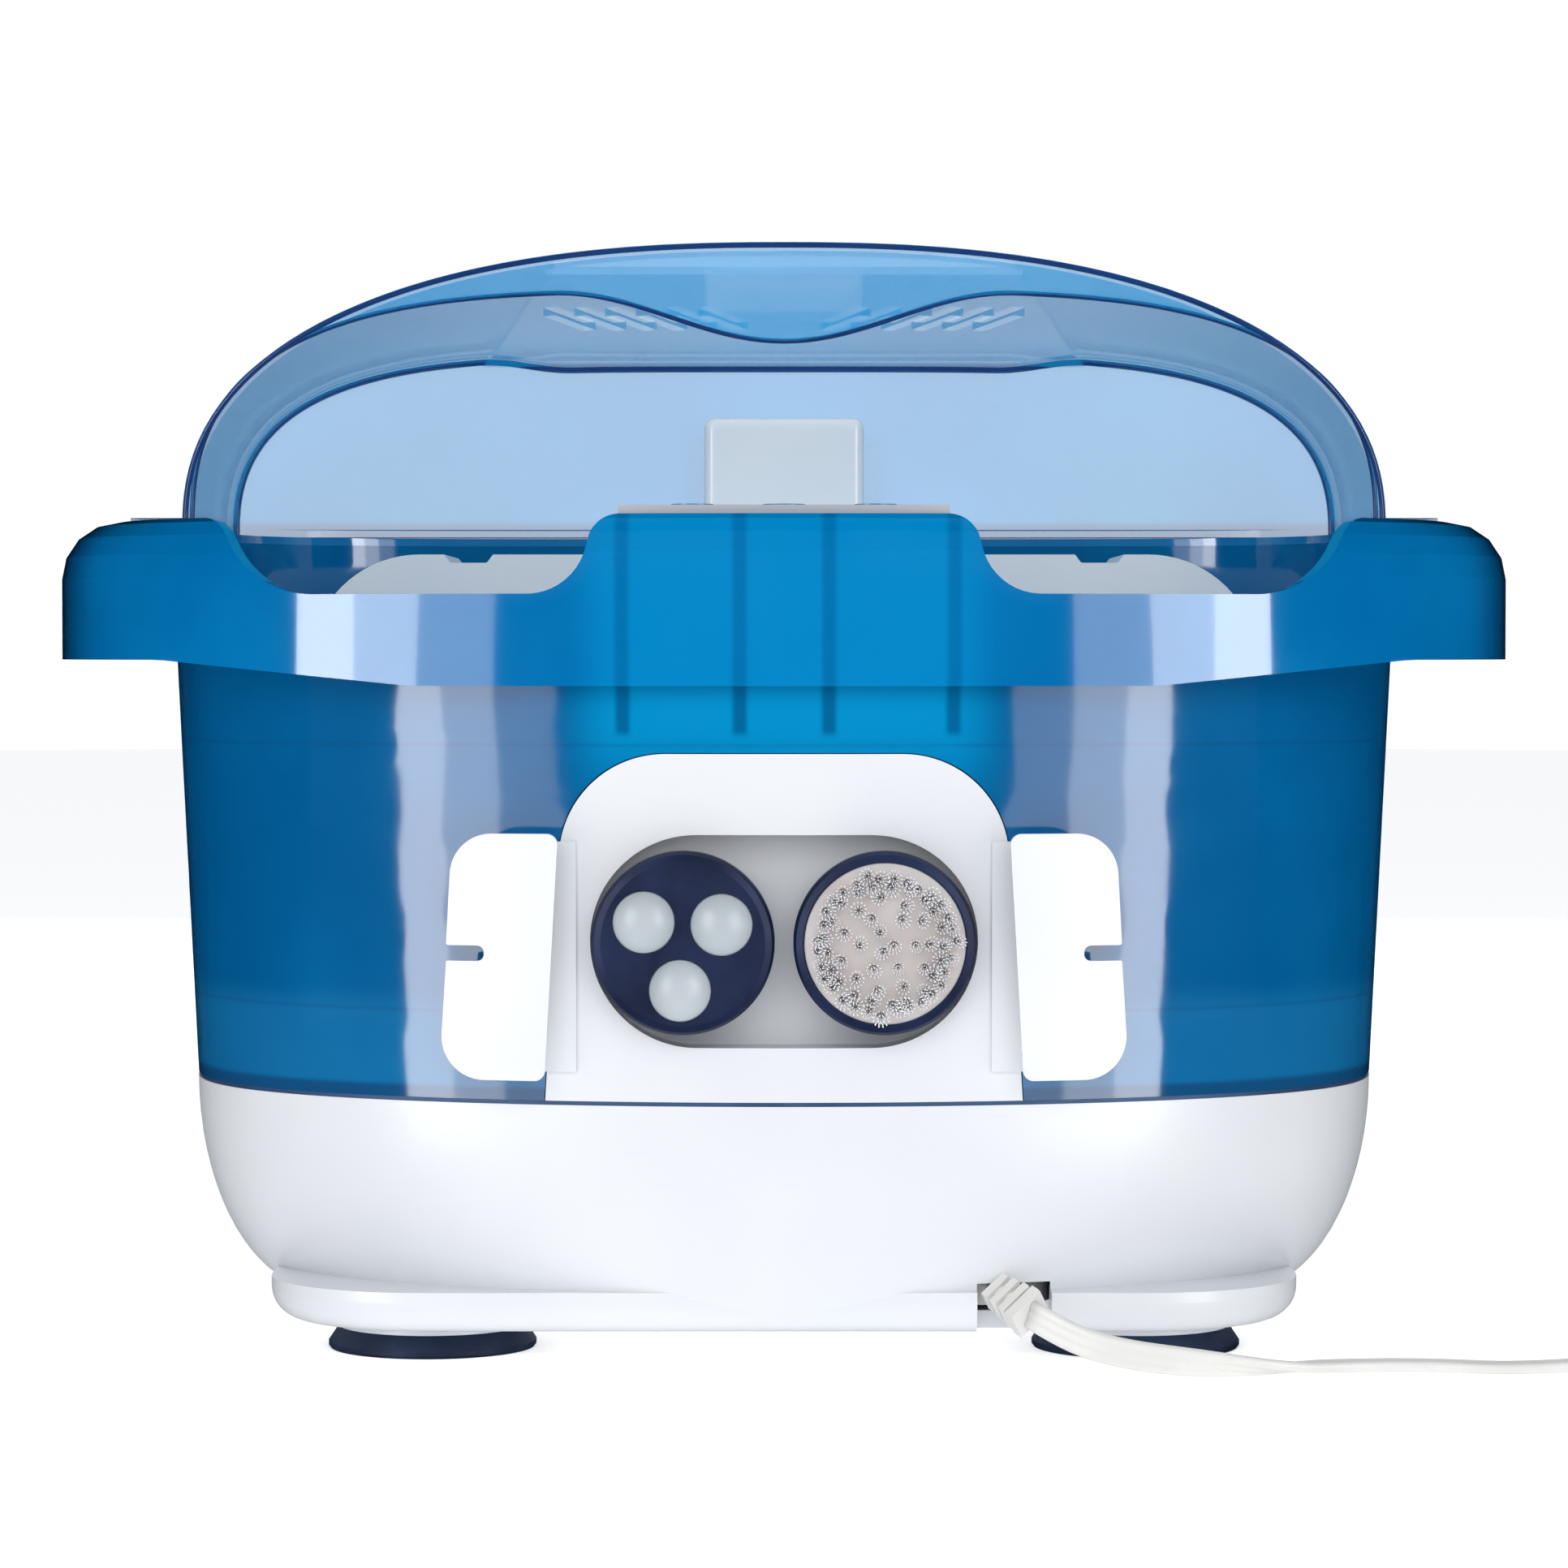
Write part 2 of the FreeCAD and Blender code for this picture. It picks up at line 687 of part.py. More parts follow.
def make_footbed():
    """A white plate on the tub's floor with two fields of massage domes and two roller windows."""
    top = SIZES["floor_top"] + 3.4
    plate = Part.makeBox(290, 172, 3.2, Vector(-145, -104, SIZES["floor_top"] + 0.2))
    upright = [edge for edge in plate.Edges if abs(edge.tangentAt(edge.FirstParameter).z) > 0.9]
    plate = plate.makeFillet(30, upright)
    domes = []
    for side in (-1, 1):
        for row in range(5):
            for column in range(4):
                place = Vector(side * (46 + 16 * column), -86 + 16 * row, top - 0.2)
                domes.append(Part.makeCone(4.6, 2.2, 5.0, place))
    shape = plate.multiFuse(domes)
    for side in (-1, 1):
        shape = shape.cut(Part.makeBox(66, 22, 10, Vector(side * ROLLER_X - 33, ROLLER_Y - 11, top - 5)))
        for end in (-1, 1):
            x = side * ROLLER_X + end * 36 - 3
            shape = shape.fuse(Part.makeBox(6, 12, 11, Vector(x, ROLLER_Y - 6, top - 1)))
        axle_start = Vector(side * ROLLER_X - 38, ROLLER_Y, ROLLER_Z)
        shape = shape.cut(Part.makeCylinder(2.5, 76, axle_start, Vector(1, 0, 0)))
    for side in (-1, 1):
        for step in range(10):
            shape = shape.cut(Part.makeCylinder(1.2, 20, Vector(side * (34 + 11 * step), 52, top - 10)))
    keep(feature("Footbed", shape.removeSplitter()), "footbed")


ROLLER_X = 72.0
ROLLER_Y = 22.0
ROLLER_Z = 102.4


def make_rollers():
    """A ridged roller under each foot, running on its own steel axle."""
    along_x = Rotation(Vector(0, 1, 0), 90)
    for side, name in ((-1, "left"), (1, "right")):
        profile = [(2.6, 0), (7.0, 0)]
        for ridge in range(5):
            start = 2 + 12 * ridge
            profile += [(7.0, start), (8.2, start + 2), (8.2, start + 6), (7.0, start + 8)]
        profile += [(7.0, 60), (2.6, 60)]
        roller = turned("Roller_" + name, profile)
        put(roller, side * ROLLER_X - 30, ROLLER_Y, ROLLER_Z, along_x)
        keep(roller, "foot_roller_" + name)
        axle = rod("Axle_" + name, 2.5, 75, side * ROLLER_X - 37.5, ROLLER_Y, ROLLER_Z, along_x)
        keep(axle, "roller_axle_" + name)


# ---------------------------------------------------------------- attachment panel and heads


def window_wire(clearance):
    low, high = SIZES["window_low_half"] - clearance, SIZES["window_top_half"] - clearance
    bottom, top = SIZES["tub_bottom"] + clearance - 1, SIZES["window_top"] - clearance
    right = [(high, top, 30.0), (low, bottom, 0.0)]
    return rounded_wire(mirrored_corners(right))


def stadium(half, low, high, front, back):
    radius = (high - low) / 2 - 0.01
    right = [(half, high, radius), (half, low, radius)]
    return prism(rounded_wire(mirrored_corners(right)), front, back)


def flap_outline(side):
    """A cord flap with a slot let into its outer edge."""
    slot_mid, slot = 118.0, 2.2
    corners = [(63.0, 151.6, 3.0), (93.0, 151.6, 12.0)]
    corners += [(94.8, slot_mid + slot, 0.6), (84.0, slot_mid + slot, 2.0)]
    corners += [(84.0, slot_mid - slot, 2.0), (94.8, slot_mid - slot, 0.6)]
    corners += [(97.0, 82.4, 12.0), (67.0, 82.4, 3.0)]
    return rounded_wire([(side * x, z, radius) for x, z, radius in corners])


def make_attachment_panel():
    wall = SIZES["wall"]
    bottom, top = SIZES["tub_bottom"], SIZES["rim_top"]
    outer, inner = tub_solid(bottom, top, 0), tub_solid(bottom - 1, top + 1, wall)
    plate = outer.cut(inner).common(prism(window_wire(0.3), -190, -130))
    half, low, high = SIZES["recess_half"], SIZES["recess_low"], SIZES["recess_high"]
    floor = SIZES["recess_floor"]
    cup = stadium(half + wall, low - wall, high + wall, -170, floor + wall).common(outer)
    shape = plate.fuse(cup).cut(stadium(half, low, high, -190, floor))
    stand, thick = SIZES["flap_stand"], SIZES["flap_thick"]
    web_place, web_thick = 70.5, 4.0
    foot_place, foot_wide, foot_thick = 65.5, 14.0, 1.8
    skin = tub_solid(bottom, top, -stand - thick).cut(tub_solid(bottom - 1, top + 1, -stand))
    for side in (-1, 1):
        flap = prism(flap_outline(side), -200, -120).common(skin)
        web = Part.makeBox(web_thick, 60, 56, Vector(side * web_place - web_thick / 2, -190, 89))
        web = web.common(tub_solid(bottom, top, -stand - 1)).cut(tub_solid(bottom - 1, top + 1, 0))
        foot = Part.makeBox(foot_wide, 60, 65, Vector(side * foot_place - foot_wide / 2, -190, 84))
        foot = foot.common(tub_solid(bottom, top, -foot_thick)).cut(tub_solid(bottom - 1, top + 1, 0))
        shape = shape.fuse(flap).fuse(web).fuse(foot)
    for side in (-1, 1):
        centre = Vector(side * SIZES["head_centre"], floor + 1, SIZES["head_height"])
        shape = shape.fuse(Part.makeCylinder(SIZES["spigot_radius"], 12, centre, Vector(0, -1, 0)))
    front = -SIZES["apron_rear"]
    shape = shape.common(Part.makeBox(260, 60, 120, Vector(-130, front, 70)))
    keep(feature("AttachmentPanel", shape.removeSplitter()), "attachment_panel")


FACING_FRONT = Rotation(Vector(1, 0, 0), 90)


def head_body(name, side, rim, bore):
    """A round head with a hand-grip waist, turned about the axis that points at the user."""
    depth = dim("head_seat") - dim("head_face")
    profile = [
        (bore, 0), (rim - 3.5, 0), (rim - 1.5, 2.0), (rim - 1.5, 9.0), (rim, 12.0),
        (rim, depth - 2.4), (rim - 0.8, depth - 0.9), (rim - 2.6, depth), (0, depth), (0, 11.5), (bore, 11.5),
    ]
    head = turned(name, profile)
    return put(head, dim("head_centre") * side, dim("head_seat"), dim("head_height"), FACING_FRONT)


BALL_OFFSETS = ((-10.9, 6.0), (10.8, 5.3), (-0.8, -13.1))
BALL_SINK = 5.4


def make_ball_head():
    bore = dim("spigot_radius") + 0.1
    solid = head_body("BallHeadBlank", -1, dim("head_radius"), bore)
    sockets = []
    for number, (across, up) in enumerate(BALL_OFFSETS, start=1):
        x = -(dim("head_centre") - across)
        y = dim("head_face") + BALL_SINK
        z = dim("head_height") + up
        socket = doc.addObject("Part::Sphere", f"Socket{number}")
        bind(socket, "Radius", dim("ball_radius") + 0.25)
        sockets.append(put(socket, x, y, z))
        ball = doc.addObject("Part::Sphere", f"Ball{number}")
        bind(ball, "Radius", dim("ball_radius"))
        keep(put(ball, x, y, z), f"massage_ball_{number}")
    keep(cut("BallHead", solid, fuse("Sockets", sockets)), "ball_head")


def make_brush_head():
    bore = dim("spigot_radius") + 0.1
    blank = head_body("BrushHeadBlank", 1, dim("head_radius"), bore)
    face = dim("head_face")
    pocket = rod("BrushPocket", 22.6, 5, dim("head_centre"), face + 4.0, dim("head_height"), FACING_FRONT)
    keep(cut("BrushHead", blank, pocket), "brush_head")
    disc = rod("BrushDisc", 22.5, 3.4, dim("head_centre"), face + 4.0, dim("head_height"), FACING_FRONT)
    keep(disc, "brush_disc")
    tufts = rod("BrushTufts", 20.8, 7.2, dim("head_centre"), face + 0.6, dim("head_height"), FACING_FRONT)
    keep(tufts, "brush_bristles")


# ---------------------------------------------------------------- controls


def frame_ring(name, half, front, back, low, high, border):
    outer = block(name + "Out", (-half, half), (front, back), (low, high))
    wide, deep = (border - half, half - border), (front + border, back - border)
    inner = block(name + "In", wide, deep, (low - 1, high + 1))
    return cut(name, outer, inner)


def make_controls():
    top, half = dim("rim_top"), dim("bezel_half")
    ring = frame_ring("ControlBezel", half, -161.0, -121.0, top, top + dim("bezel_high"), 4.0)
    keep(ring, "control_bezel")
    panel = block("PlateBlank", (-half + 4.1, half - 4.1), (-156.9, -125.1), (top, top + 1.9))
    holes = [rod(f"PlateHole{n}", dim("button_radius") + 0.1, 6, x, BUTTON_ROW, top - 2)
             for n, x in enumerate(BUTTON_PLACES)]
    keep(cut("ControlPlate", panel, fuse("PlateHoles", holes)), "control_plate")
    for x, name in zip(BUTTON_PLACES, ("heat", "bubbles", "waterfall")):
        button = rod("Button_" + name, dim("button_radius"), 4.8, x, BUTTON_ROW, top - 1.6)
        keep(button, "button_" + name)
    board = block("Board", (-40, 40), (-157.5, -120.5), (dim("rib_top") + 0.05, dim("rib_top") + 1.65))
    keep(board, "circuit_board")


# ---------------------------------------------------------------- works under the floor


def make_heater():
    under = dim("floor_under")
    keep(block("HeaterPlate", (-60, 60), (-40, 60), (under - 3, under)), "heater_plate")
    keep(rod("Thermostat", 8, 7, 0, 0, under - 10), "thermostat")


BLOWER = (-95.0, 18.0)


def make_blower():
    """The bubble blower: a round case with a fan above its motor."""
    x, y = BLOWER
    base = SIZES["base_top"] - SIZES["base_drop"] + 3.0
    case = put(turned("BlowerCase", [
        (0, 0), (32, 0), (32, 46), (8, 46), (8, 43.6), (29.6, 43.6), (29.6, 2.4), (0, 2.4)]), x, y, base)
    spigot = rod("BlowerSpigot", 3.4, 6, x, y + 26, base + 45)
    bore = rod("BlowerBore", 2.2, 20, x, y + 26, base + 40)
    keep(cut("BlowerHousing", fuse("BlowerCaseAll", [case, spigot]), bore), "blower_housing")
    motor = put(turned("BlowerMotor", [
        (2.1, 0), (15, 0), (15, 22), (6, 22), (6, 24), (2.1, 24)]), x, y, base + 2.4)
    keep(motor, "blower_motor")
    hub = rod("FanHub", 6, 10, x, y, base + 27.4)
    shaft = rod("FanShaft", 2.0, 24, x, y, base + 4)
    disc = rod("FanDisc", 26, 1.6, x, y, base + 27.4)
    blades = []
    for step in range(8):
        blade = doc.addObject("Part::Box", f"FanBlade{step}")
        blade.Length, blade.Width, blade.Height = 21, 1.6, 9.5
        angle = math.radians(45 * step)
        blade.Placement = Placement(Vector(x + 4.5 * math.cos(angle), y + 4.5 * math.sin(angle), base + 28),
                                    Rotation(Vector(0, 0, 1), 45 * step))
        blades.append(blade)
    keep(fuse("BlowerFan", [hub, shaft, disc] + blades), "blower_fan")
    outer = rod("AirHoseOut", 5.0, dim("floor_top") - base - 46.7, x, y + 26, base + 46.2)
    inner = rod("AirHoseIn", 3.45, 60, x, y + 26, base + 40)
    keep(cut("AirHose", outer, inner), "air_hose")


VIBRATOR = (95.0, 18.0)


def make_vibrator():
    """The massage motor, with an off-centre weight that shakes the base."""
    x, y = VIBRATOR
    base = SIZES["base_top"] - SIZES["base_drop"] + 3.0
    motor = put(turned("Vibrator", [(2.1, 0), (16, 0), (16, 30), (7, 30), (7, 33), (2.1, 33)]), x, y, base)
    keep(motor, "massage_motor")
    shaft = rod("WeightShaft", 2.0, 34, x, y, base + 12)
    full = rod("WeightFull", 15, 8, x, y, base + 37)
    away = block("WeightAway", (x - 20, x + 20), (y - 20, y - 3), (base + 36, base + 46))
    keep(fuse("EccentricWeight", [shaft, cut("WeightHalf", full, away)]), "eccentric_weight")


PUMP = (0.0, 118.0)


def make_pump():
    """The waterfall pump: water drops in from the tub and goes up the riser to the spout."""
    x, y = PUMP
    base = SIZES["base_top"] - SIZES["base_drop"] + 3.0
    case = put(turned("PumpCase", [
        (2.1, 0), (22, 0), (22, 40), (0, 40), (0, 37), (19, 37), (19, 20), (2.1, 20)]), x, y, base)
    ports = [rod(f"PumpPort{n}", 3.4, 6, 0, py, base + 39) for n, py in enumerate((104.0, 134.0))]
    bores = [rod(f"PumpBore{n}", 2.2, 12, 0, py, base + 35) for n, py in enumerate((104.0, 134.0))]
    body = cut("PumpBody", fuse("PumpCaseAll", [case] + ports), fuse("PumpBores", bores))
    keep(body, "pump_body")
    hub = rod("ImpellerHub", 5, 13, x, y, base + 22)
    shaft = rod("ImpellerShaft", 2.0, 20, x, y, base + 3)
    blades = [block(f"ImpellerBlade{n}", (x - long, x + long), (y - wide, y + wide), (base + 23, base + 34))
              for n, (long, wide) in enumerate(((15, 0.9), (0.9, 15)))]
    keep(fuse("PumpImpeller", [hub, shaft] + blades), "pump_impeller")
    for label, py, top in (("intake_hose", 104.0, SIZES["floor_top"]), ("riser_hose", 134.0, 268.0)):
        low = base + 40.2
        outer = rod(label + "Out", 5.0, top - low, 0, py, low)
        inner = rod(label + "In", 3.45, top - low + 10, 0, py, low - 5)
        keep(cut(label + "Tube", outer, inner), label)


# ---------------------------------------------------------------- cord

CORD_EXIT = Vector(69.5, -156.0, 15.8)
CORD_HEADING = Vector(12.0, -13.0, -6.8)
COIL_CENTRE = (292.0, -120.0)
# The free stretch, from the strain relief down to the floor and along it to the coil.
CORD_ROUTE = [
    (69.5, -156.0, 15.8), (79.5, -165.0, 9.8), (94.0, -170.0, 4.6), (112.0, -171.5, 2.3),
    (136.0, -170.5, 2.3), (158.0, -160.0, 2.3), (182.0, -159.0, 2.3), (204.0, -170.0, 2.3),
    (235.0, -168.5, 2.3), (262.0, -173.0, 2.3), (287.0, -174.6, 2.3),
]


def route_edges(points):
    """Straight runs joined by tangent arcs, each as large as its two runs allow."""
    edges, radii = [], []
    start = points[0]
    for index in range(1, len(points) - 1):
        here = points[index]
        back, ahead = points[index - 1] - here, points[index + 1] - here
        reach = 0.45 * min(back.Length, ahead.Length)
        half_turn = (math.pi - back.getAngle(ahead)) / 2
        radius = reach / math.tan(half_turn)
        back.normalize()
        ahead.normalize()
        enter, leave = here + back * reach, here + ahead * reach
        middle = here + (back + ahead).normalize() * (radius / math.cos(half_turn) - radius)
        edges.append(Part.LineSegment(start, enter).toShape())
        edges.append(Part.Arc(enter, middle, leave).toShape())
        radii.append(radius)
        start = leave
    edges.append(Part.LineSegment(start, points[-1]).toShape())
    length = sum(edge.Length for edge in edges)
    print("cord radii", [round(radius, 1) for radius in radii], "length", round(length, 1))
    return edges, length


def make_cord():
    radius = SIZES["cord_thick"] / 2
    points = [Vector(*point) for point in CORD_ROUTE]
    edges, length = route_edges(points)
    circle = Part.Wire(Part.makeCircle(radius, points[0], points[1] - points[0]))
    tube = Part.Wire(edges).makePipeShell([circle], True, False)
    print("cord volume", round(tube.Volume, 1), "wanted", round(math.pi * radius ** 2 * length, 1))
    keep(feature("CordLead", tube), "cord_lead")
    x, y = COIL_CENTRE
    coil = turned("CordCoil", [
        (dim("coil_inner"), 0), (dim("coil_outer"), 0), (dim("coil_outer"), dim("coil_high")),
        (dim("coil_inner"), dim("coil_high"))])
    keep(put(coil, x, y, 0), "cord_coil")


def make_strain_relief():
    """A tapered, ribbed sleeve that points where the cord goes, with a clamp behind the base's wall."""
    back = Vector(CORD_HEADING).normalize() * -1
    ribs = []
    for step in range(4):
        width, height = 11.4 - 0.9 * step, 9.6 - 0.8 * step
        rib = Part.makeBox(width, height, 2.4 if step else 3.2, Vector(-width / 2, -height / 2, 0))
        rib.Placement = Placement(CORD_EXIT + back * (4.2 * step), Rotation(Vector(0, 0, 1), back))
        ribs.append(rib)
    core = Part.makeCone(3.6, 2.4, 15.5, CORD_EXIT, back)
    tail = CORD_EXIT + back * 15
    stub = Part.makeCylinder(2.0, 12, tail, Vector(0, 1, 0))
    clamp = Part.makeBox(12, 3, 11, Vector(tail.x - 6, tail.y + 11, tail.z - 5.5))
    shape = core.multiFuse(ribs + [stub, clamp])
    keep(feature("StrainRelief", shape.removeSplitter()), "strain_relief")


PLUG_ANGLE = 118.0


def make_plug():
    """A moulded three-pin plug lying on the coil."""
    x, y = COIL_CENTRE
    angle = math.radians(PLUG_ANGLE)
    ring = 46.0
    top = SIZES["coil_high"]
    turn = Rotation(Vector(0, 0, 1), PLUG_ANGLE + 90)
    place = Vector(x + ring * math.cos(angle), y + ring * math.sin(angle), top)
    body = padded("PlugBlank", [(-22, -5), (-8, -7), (0, -12.5), (16, -12.5), (16, 12.5), (0, 12.5),
                                (-8, 7), (-22, 5)], 21)
    body.Placement = Placement(place, turn)
    keep(body, "plug_body")
    pins = []
    for number, (across, up, wide, thick) in enumerate(((-6.35, 14.5, 6.3, 1.5), (6.35, 14.5, 6.3, 1.5))):
        pin = doc.addObject("Part::Box", f"PlugBlade{number}")
        pin.Length, pin.Width, pin.Height = 16, thick, wide
        corner = turn.multVec(Vector(16, across - thick / 2, up - wide / 2))
        pin.Placement = Placement(place + corner, turn)
        pins.append(pin)
    earth = doc.addObject("Part::Cylinder", "PlugEarth")
    earth.Radius, earth.Height = 2.4, 18
    along_plug = turn.multiply(Rotation(Vector(0, 1, 0), 90))
    earth.Placement = Placement(place + turn.multVec(Vector(16, 0, 4.6)), along_plug)
    keep(group("PlugBlades", pins + [earth]), "plug_blades")


# ---------------------------------------------------------------- build, check and write


def check_and_write():
    doc.recompute()
    for item in doc.Objects:
        if "Invalid" in item.State or "Error" in item.State:
            raise RuntimeError(f"{item.Name} failed: {item.State}")
    os.makedirs("parts", exist_ok=True)
    box = FreeCAD.BoundBox()
    for item in pieces:
        shape = item.Shape
        if shape.isNull() or not shape.isValid() or not shape.Solids:
            raise RuntimeError(f"{item.Label} has no valid solid")
        shape.exportStep(f"parts/{item.Label}.step")
        size = shape.optimalBoundingBox(False)
        box.add(size)
        print(f"{item.Label:26s} solids {len(shape.Solids):2d} volume {shape.Volume / 1000:8.2f} cm3 "
              f"x {size.XMin:7.1f} {size.XMax:7.1f} y {size.YMin:7.1f} {size.YMax:7.1f} "
              f"z {size.ZMin:6.1f} {size.ZMax:6.1f}")
    print(len(pieces), "sub-parts, whole", box)


make_sheet()
make_base()
make_seal()
make_tub()
make_apron()
make_feet()
make_housing_screws()
make_splash_guard()
make_waterfall_console()
make_footbed()
make_rollers()
make_attachment_panel()
make_ball_head()
make_brush_head()
make_controls()
make_heater()
make_blower()
make_vibrator()
make_pump()
make_cord()
make_strain_relief()
make_plug()
check_and_write()
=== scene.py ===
# %% [markdown]
# # A foot spa basin
# The engineering parts come in as a fixed frame of named pieces. This lesson gives them their looks:
# a camera, a flat mains cord, finishes for each kind of plastic, rubber and metal, and the fine pieces
# that are too small for the engineering parts, such as the bristles of the brush.

# %% Load the frame
import json
import math

import bmesh
import bpy
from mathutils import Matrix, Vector


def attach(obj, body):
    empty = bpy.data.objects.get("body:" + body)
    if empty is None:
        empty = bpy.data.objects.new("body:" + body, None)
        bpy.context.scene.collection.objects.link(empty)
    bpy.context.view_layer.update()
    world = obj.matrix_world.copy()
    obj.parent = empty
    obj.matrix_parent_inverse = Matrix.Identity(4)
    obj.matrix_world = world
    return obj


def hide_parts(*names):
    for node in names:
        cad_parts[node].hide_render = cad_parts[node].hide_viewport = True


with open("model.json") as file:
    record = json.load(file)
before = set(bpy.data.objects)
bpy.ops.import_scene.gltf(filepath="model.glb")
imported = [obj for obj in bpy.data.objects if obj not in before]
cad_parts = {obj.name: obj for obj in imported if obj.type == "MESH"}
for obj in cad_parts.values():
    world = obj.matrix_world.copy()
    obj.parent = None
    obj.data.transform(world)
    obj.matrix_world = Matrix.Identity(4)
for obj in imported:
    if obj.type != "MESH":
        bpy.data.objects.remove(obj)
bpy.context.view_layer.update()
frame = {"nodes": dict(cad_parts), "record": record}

MM = 0.001
NODES = frame["nodes"]

# %% [markdown]
# ## The camera
# A product view is taken from far away with a long lens, so that upright sides stay upright. The lens
# sits a little below the top of the basin and leans down by a degree and a half.

# %% Camera
LENS_MM = 115.6
CAMERA_PLACE = (0.0, -1.570, 0.203)
LEAN_DOWN = math.radians(1.53)

lens = bpy.data.cameras.new("camera")
lens.lens, lens.sensor_width = LENS_MM, 36.0
camera = bpy.data.objects.new("camera", lens)
camera.location = CAMERA_PLACE
camera.rotation_euler = (math.pi / 2 - LEAN_DOWN, 0, 0)
bpy.context.scene.collection.objects.link(camera)
bpy.context.scene.camera = camera
print("camera at", CAMERA_PLACE, "lens", LENS_MM)

# %% [markdown]
# ## The cord's route
# The mains lead is flat, with three cores side by side. It leaves the base on its edge, drops to the
# floor, turns to lie flat, and is then wound on its edge into a coil, with the plug resting on top.
# A NURBS curve gives the smooth line, because a cord bends by its own stiffness and has no corners.

# %% Route points
LEAD = [
    (69.5, -156, 15.8), (79.5, -165, 10.3), (94, -170, 6.6), (112, -171.5, 4.4), (136, -170.5, 2.6),
    (158, -160, 2.0), (182, -159, 2.0), (204, -170, 2.4), (235, -168.5, 4.2), (262, -173, 4.6),
    (280, -174.6, 4.5),
]
COIL_CENTRE = (292.0, -120.0)
COIL_OUTER, COIL_INNER, COIL_HEIGHT = 54.6, 37.5, 4.35
COIL_TURNS, POINTS_A_TURN = 4.85, 14
TAIL = [
    (274, -151.2, 6.0), (288.9, -155.4, 8.6), (304.1, -153.4, 11.0), (317.5, -145.5, 12.8),
    (334, -127, 13.2), (342.2, -104, 12.8), (337.9, -82.9, 13.6), (324.7, -69.7, 15.8),
    (306.7, -64.9, 18.2), (291, -68.6, 19.5), (286.5, -71, 19.5),
]


def coil_points():
    """Points of a flat spiral, wound inwards from the side nearest the camera."""
    count = round(COIL_TURNS * POINTS_A_TURN)
    for step in range(count + 1):
        share = step / count
        angle = math.radians(270) + share * COIL_TURNS * 2 * math.pi
        radius = COIL_OUTER + (COIL_INNER - COIL_OUTER) * share
        x = COIL_CENTRE[0] + radius * math.cos(angle)
        y = COIL_CENTRE[1] + radius * math.sin(angle)
        yield x, y, COIL_HEIGHT


route = [Vector(p) * MM for p in LEAD + list(coil_points()) + TAIL]
print("route points", len(route))


# %% Smooth line
def smooth_line(name, points, resolution=6):
    """The points of the NURBS curve that has the given control points."""
    curve = bpy.data.curves.new(name, "CURVE")
    curve.dimensions = "3D"
    spline = curve.splines.new("NURBS")
    spline.points.add(len(points) - 1)
    for point, place in zip(spline.points, points):
        point.co = (*place, 1.0)
    spline.order_u = 3
    spline.use_endpoint_u = True
    spline.resolution_u = resolution
    holder = bpy.data.objects.new(name, curve)
    bpy.context.scene.collection.objects.link(holder)
    evaluated = holder.evaluated_get(bpy.context.evaluated_depsgraph_get())
    mesh = bpy.data.meshes.new_from_object(evaluated)
    line = [v.co.copy() for v in mesh.vertices]
    bpy.data.objects.remove(holder)
    bpy.data.meshes.remove(mesh)
    return line


line = smooth_line("cord_route", route)
distances = [0.0]
for before, after in zip(line, line[1:]):
    distances.append(distances[-1] + (after - before).length)
CORD_LENGTH = distances[-1]
print("cord line", len(line), "points,", round(CORD_LENGTH, 4), "m")

# %% [markdown]
# ## The cord's body
# Its section is three round cores in a row, joined by a web. The section is swept along the line
# by hand, because the cord twists: it stands on its edge, lies flat, and stands on its edge again.

# %% Cord section and sweep
CORE_RADIUS, CORE_PITCH, WEB = 1.5, 2.7, 1.12
SECTION_STEPS = 24
TWISTS = [(0.0, 0.0), (0.035, 0.05), (0.090, 1.0), (0.165, 1.0), (0.215, 0.0), (CORD_LENGTH - 0.150, 0.0),
          (CORD_LENGTH - 0.105, 1.0), (CORD_LENGTH, 1.0)]


def cord_section():
    """One closed outline, across the width and along the thickness, in millimetres."""
    half = CORE_PITCH + CORE_RADIUS
    upper = []
    for step in range(SECTION_STEPS + 1):
        x = -half * math.cos(math.pi * step / SECTION_STEPS)
        centre = max(-1, min(1, round(x / CORE_PITCH))) * CORE_PITCH
        y = math.sqrt(max(0.0, CORE_RADIUS**2 - (x - centre) ** 2))
        if abs(x) < CORE_PITCH:
            y = max(y, WEB)
        upper.append((x, y))
    return upper + [(x, -y) for x, y in reversed(upper[1:-1])]


def eased(value):
    return value * value * (3 - 2 * value)


def twist_at(distance):
    """0 where the cord stands on its edge and 1 where it lies flat."""
    for (d0, t0), (d1, t1) in zip(TWISTS, TWISTS[1:]):
        if distance <= d1:
            return t0 + (t1 - t0) * eased((distance - d0) / (d1 - d0))
    return TWISTS[-1][1]


def new_piece(name, mesh):
    piece = bpy.data.objects.new(name, mesh)
    bpy.context.scene.collection.objects.link(piece)
    return piece


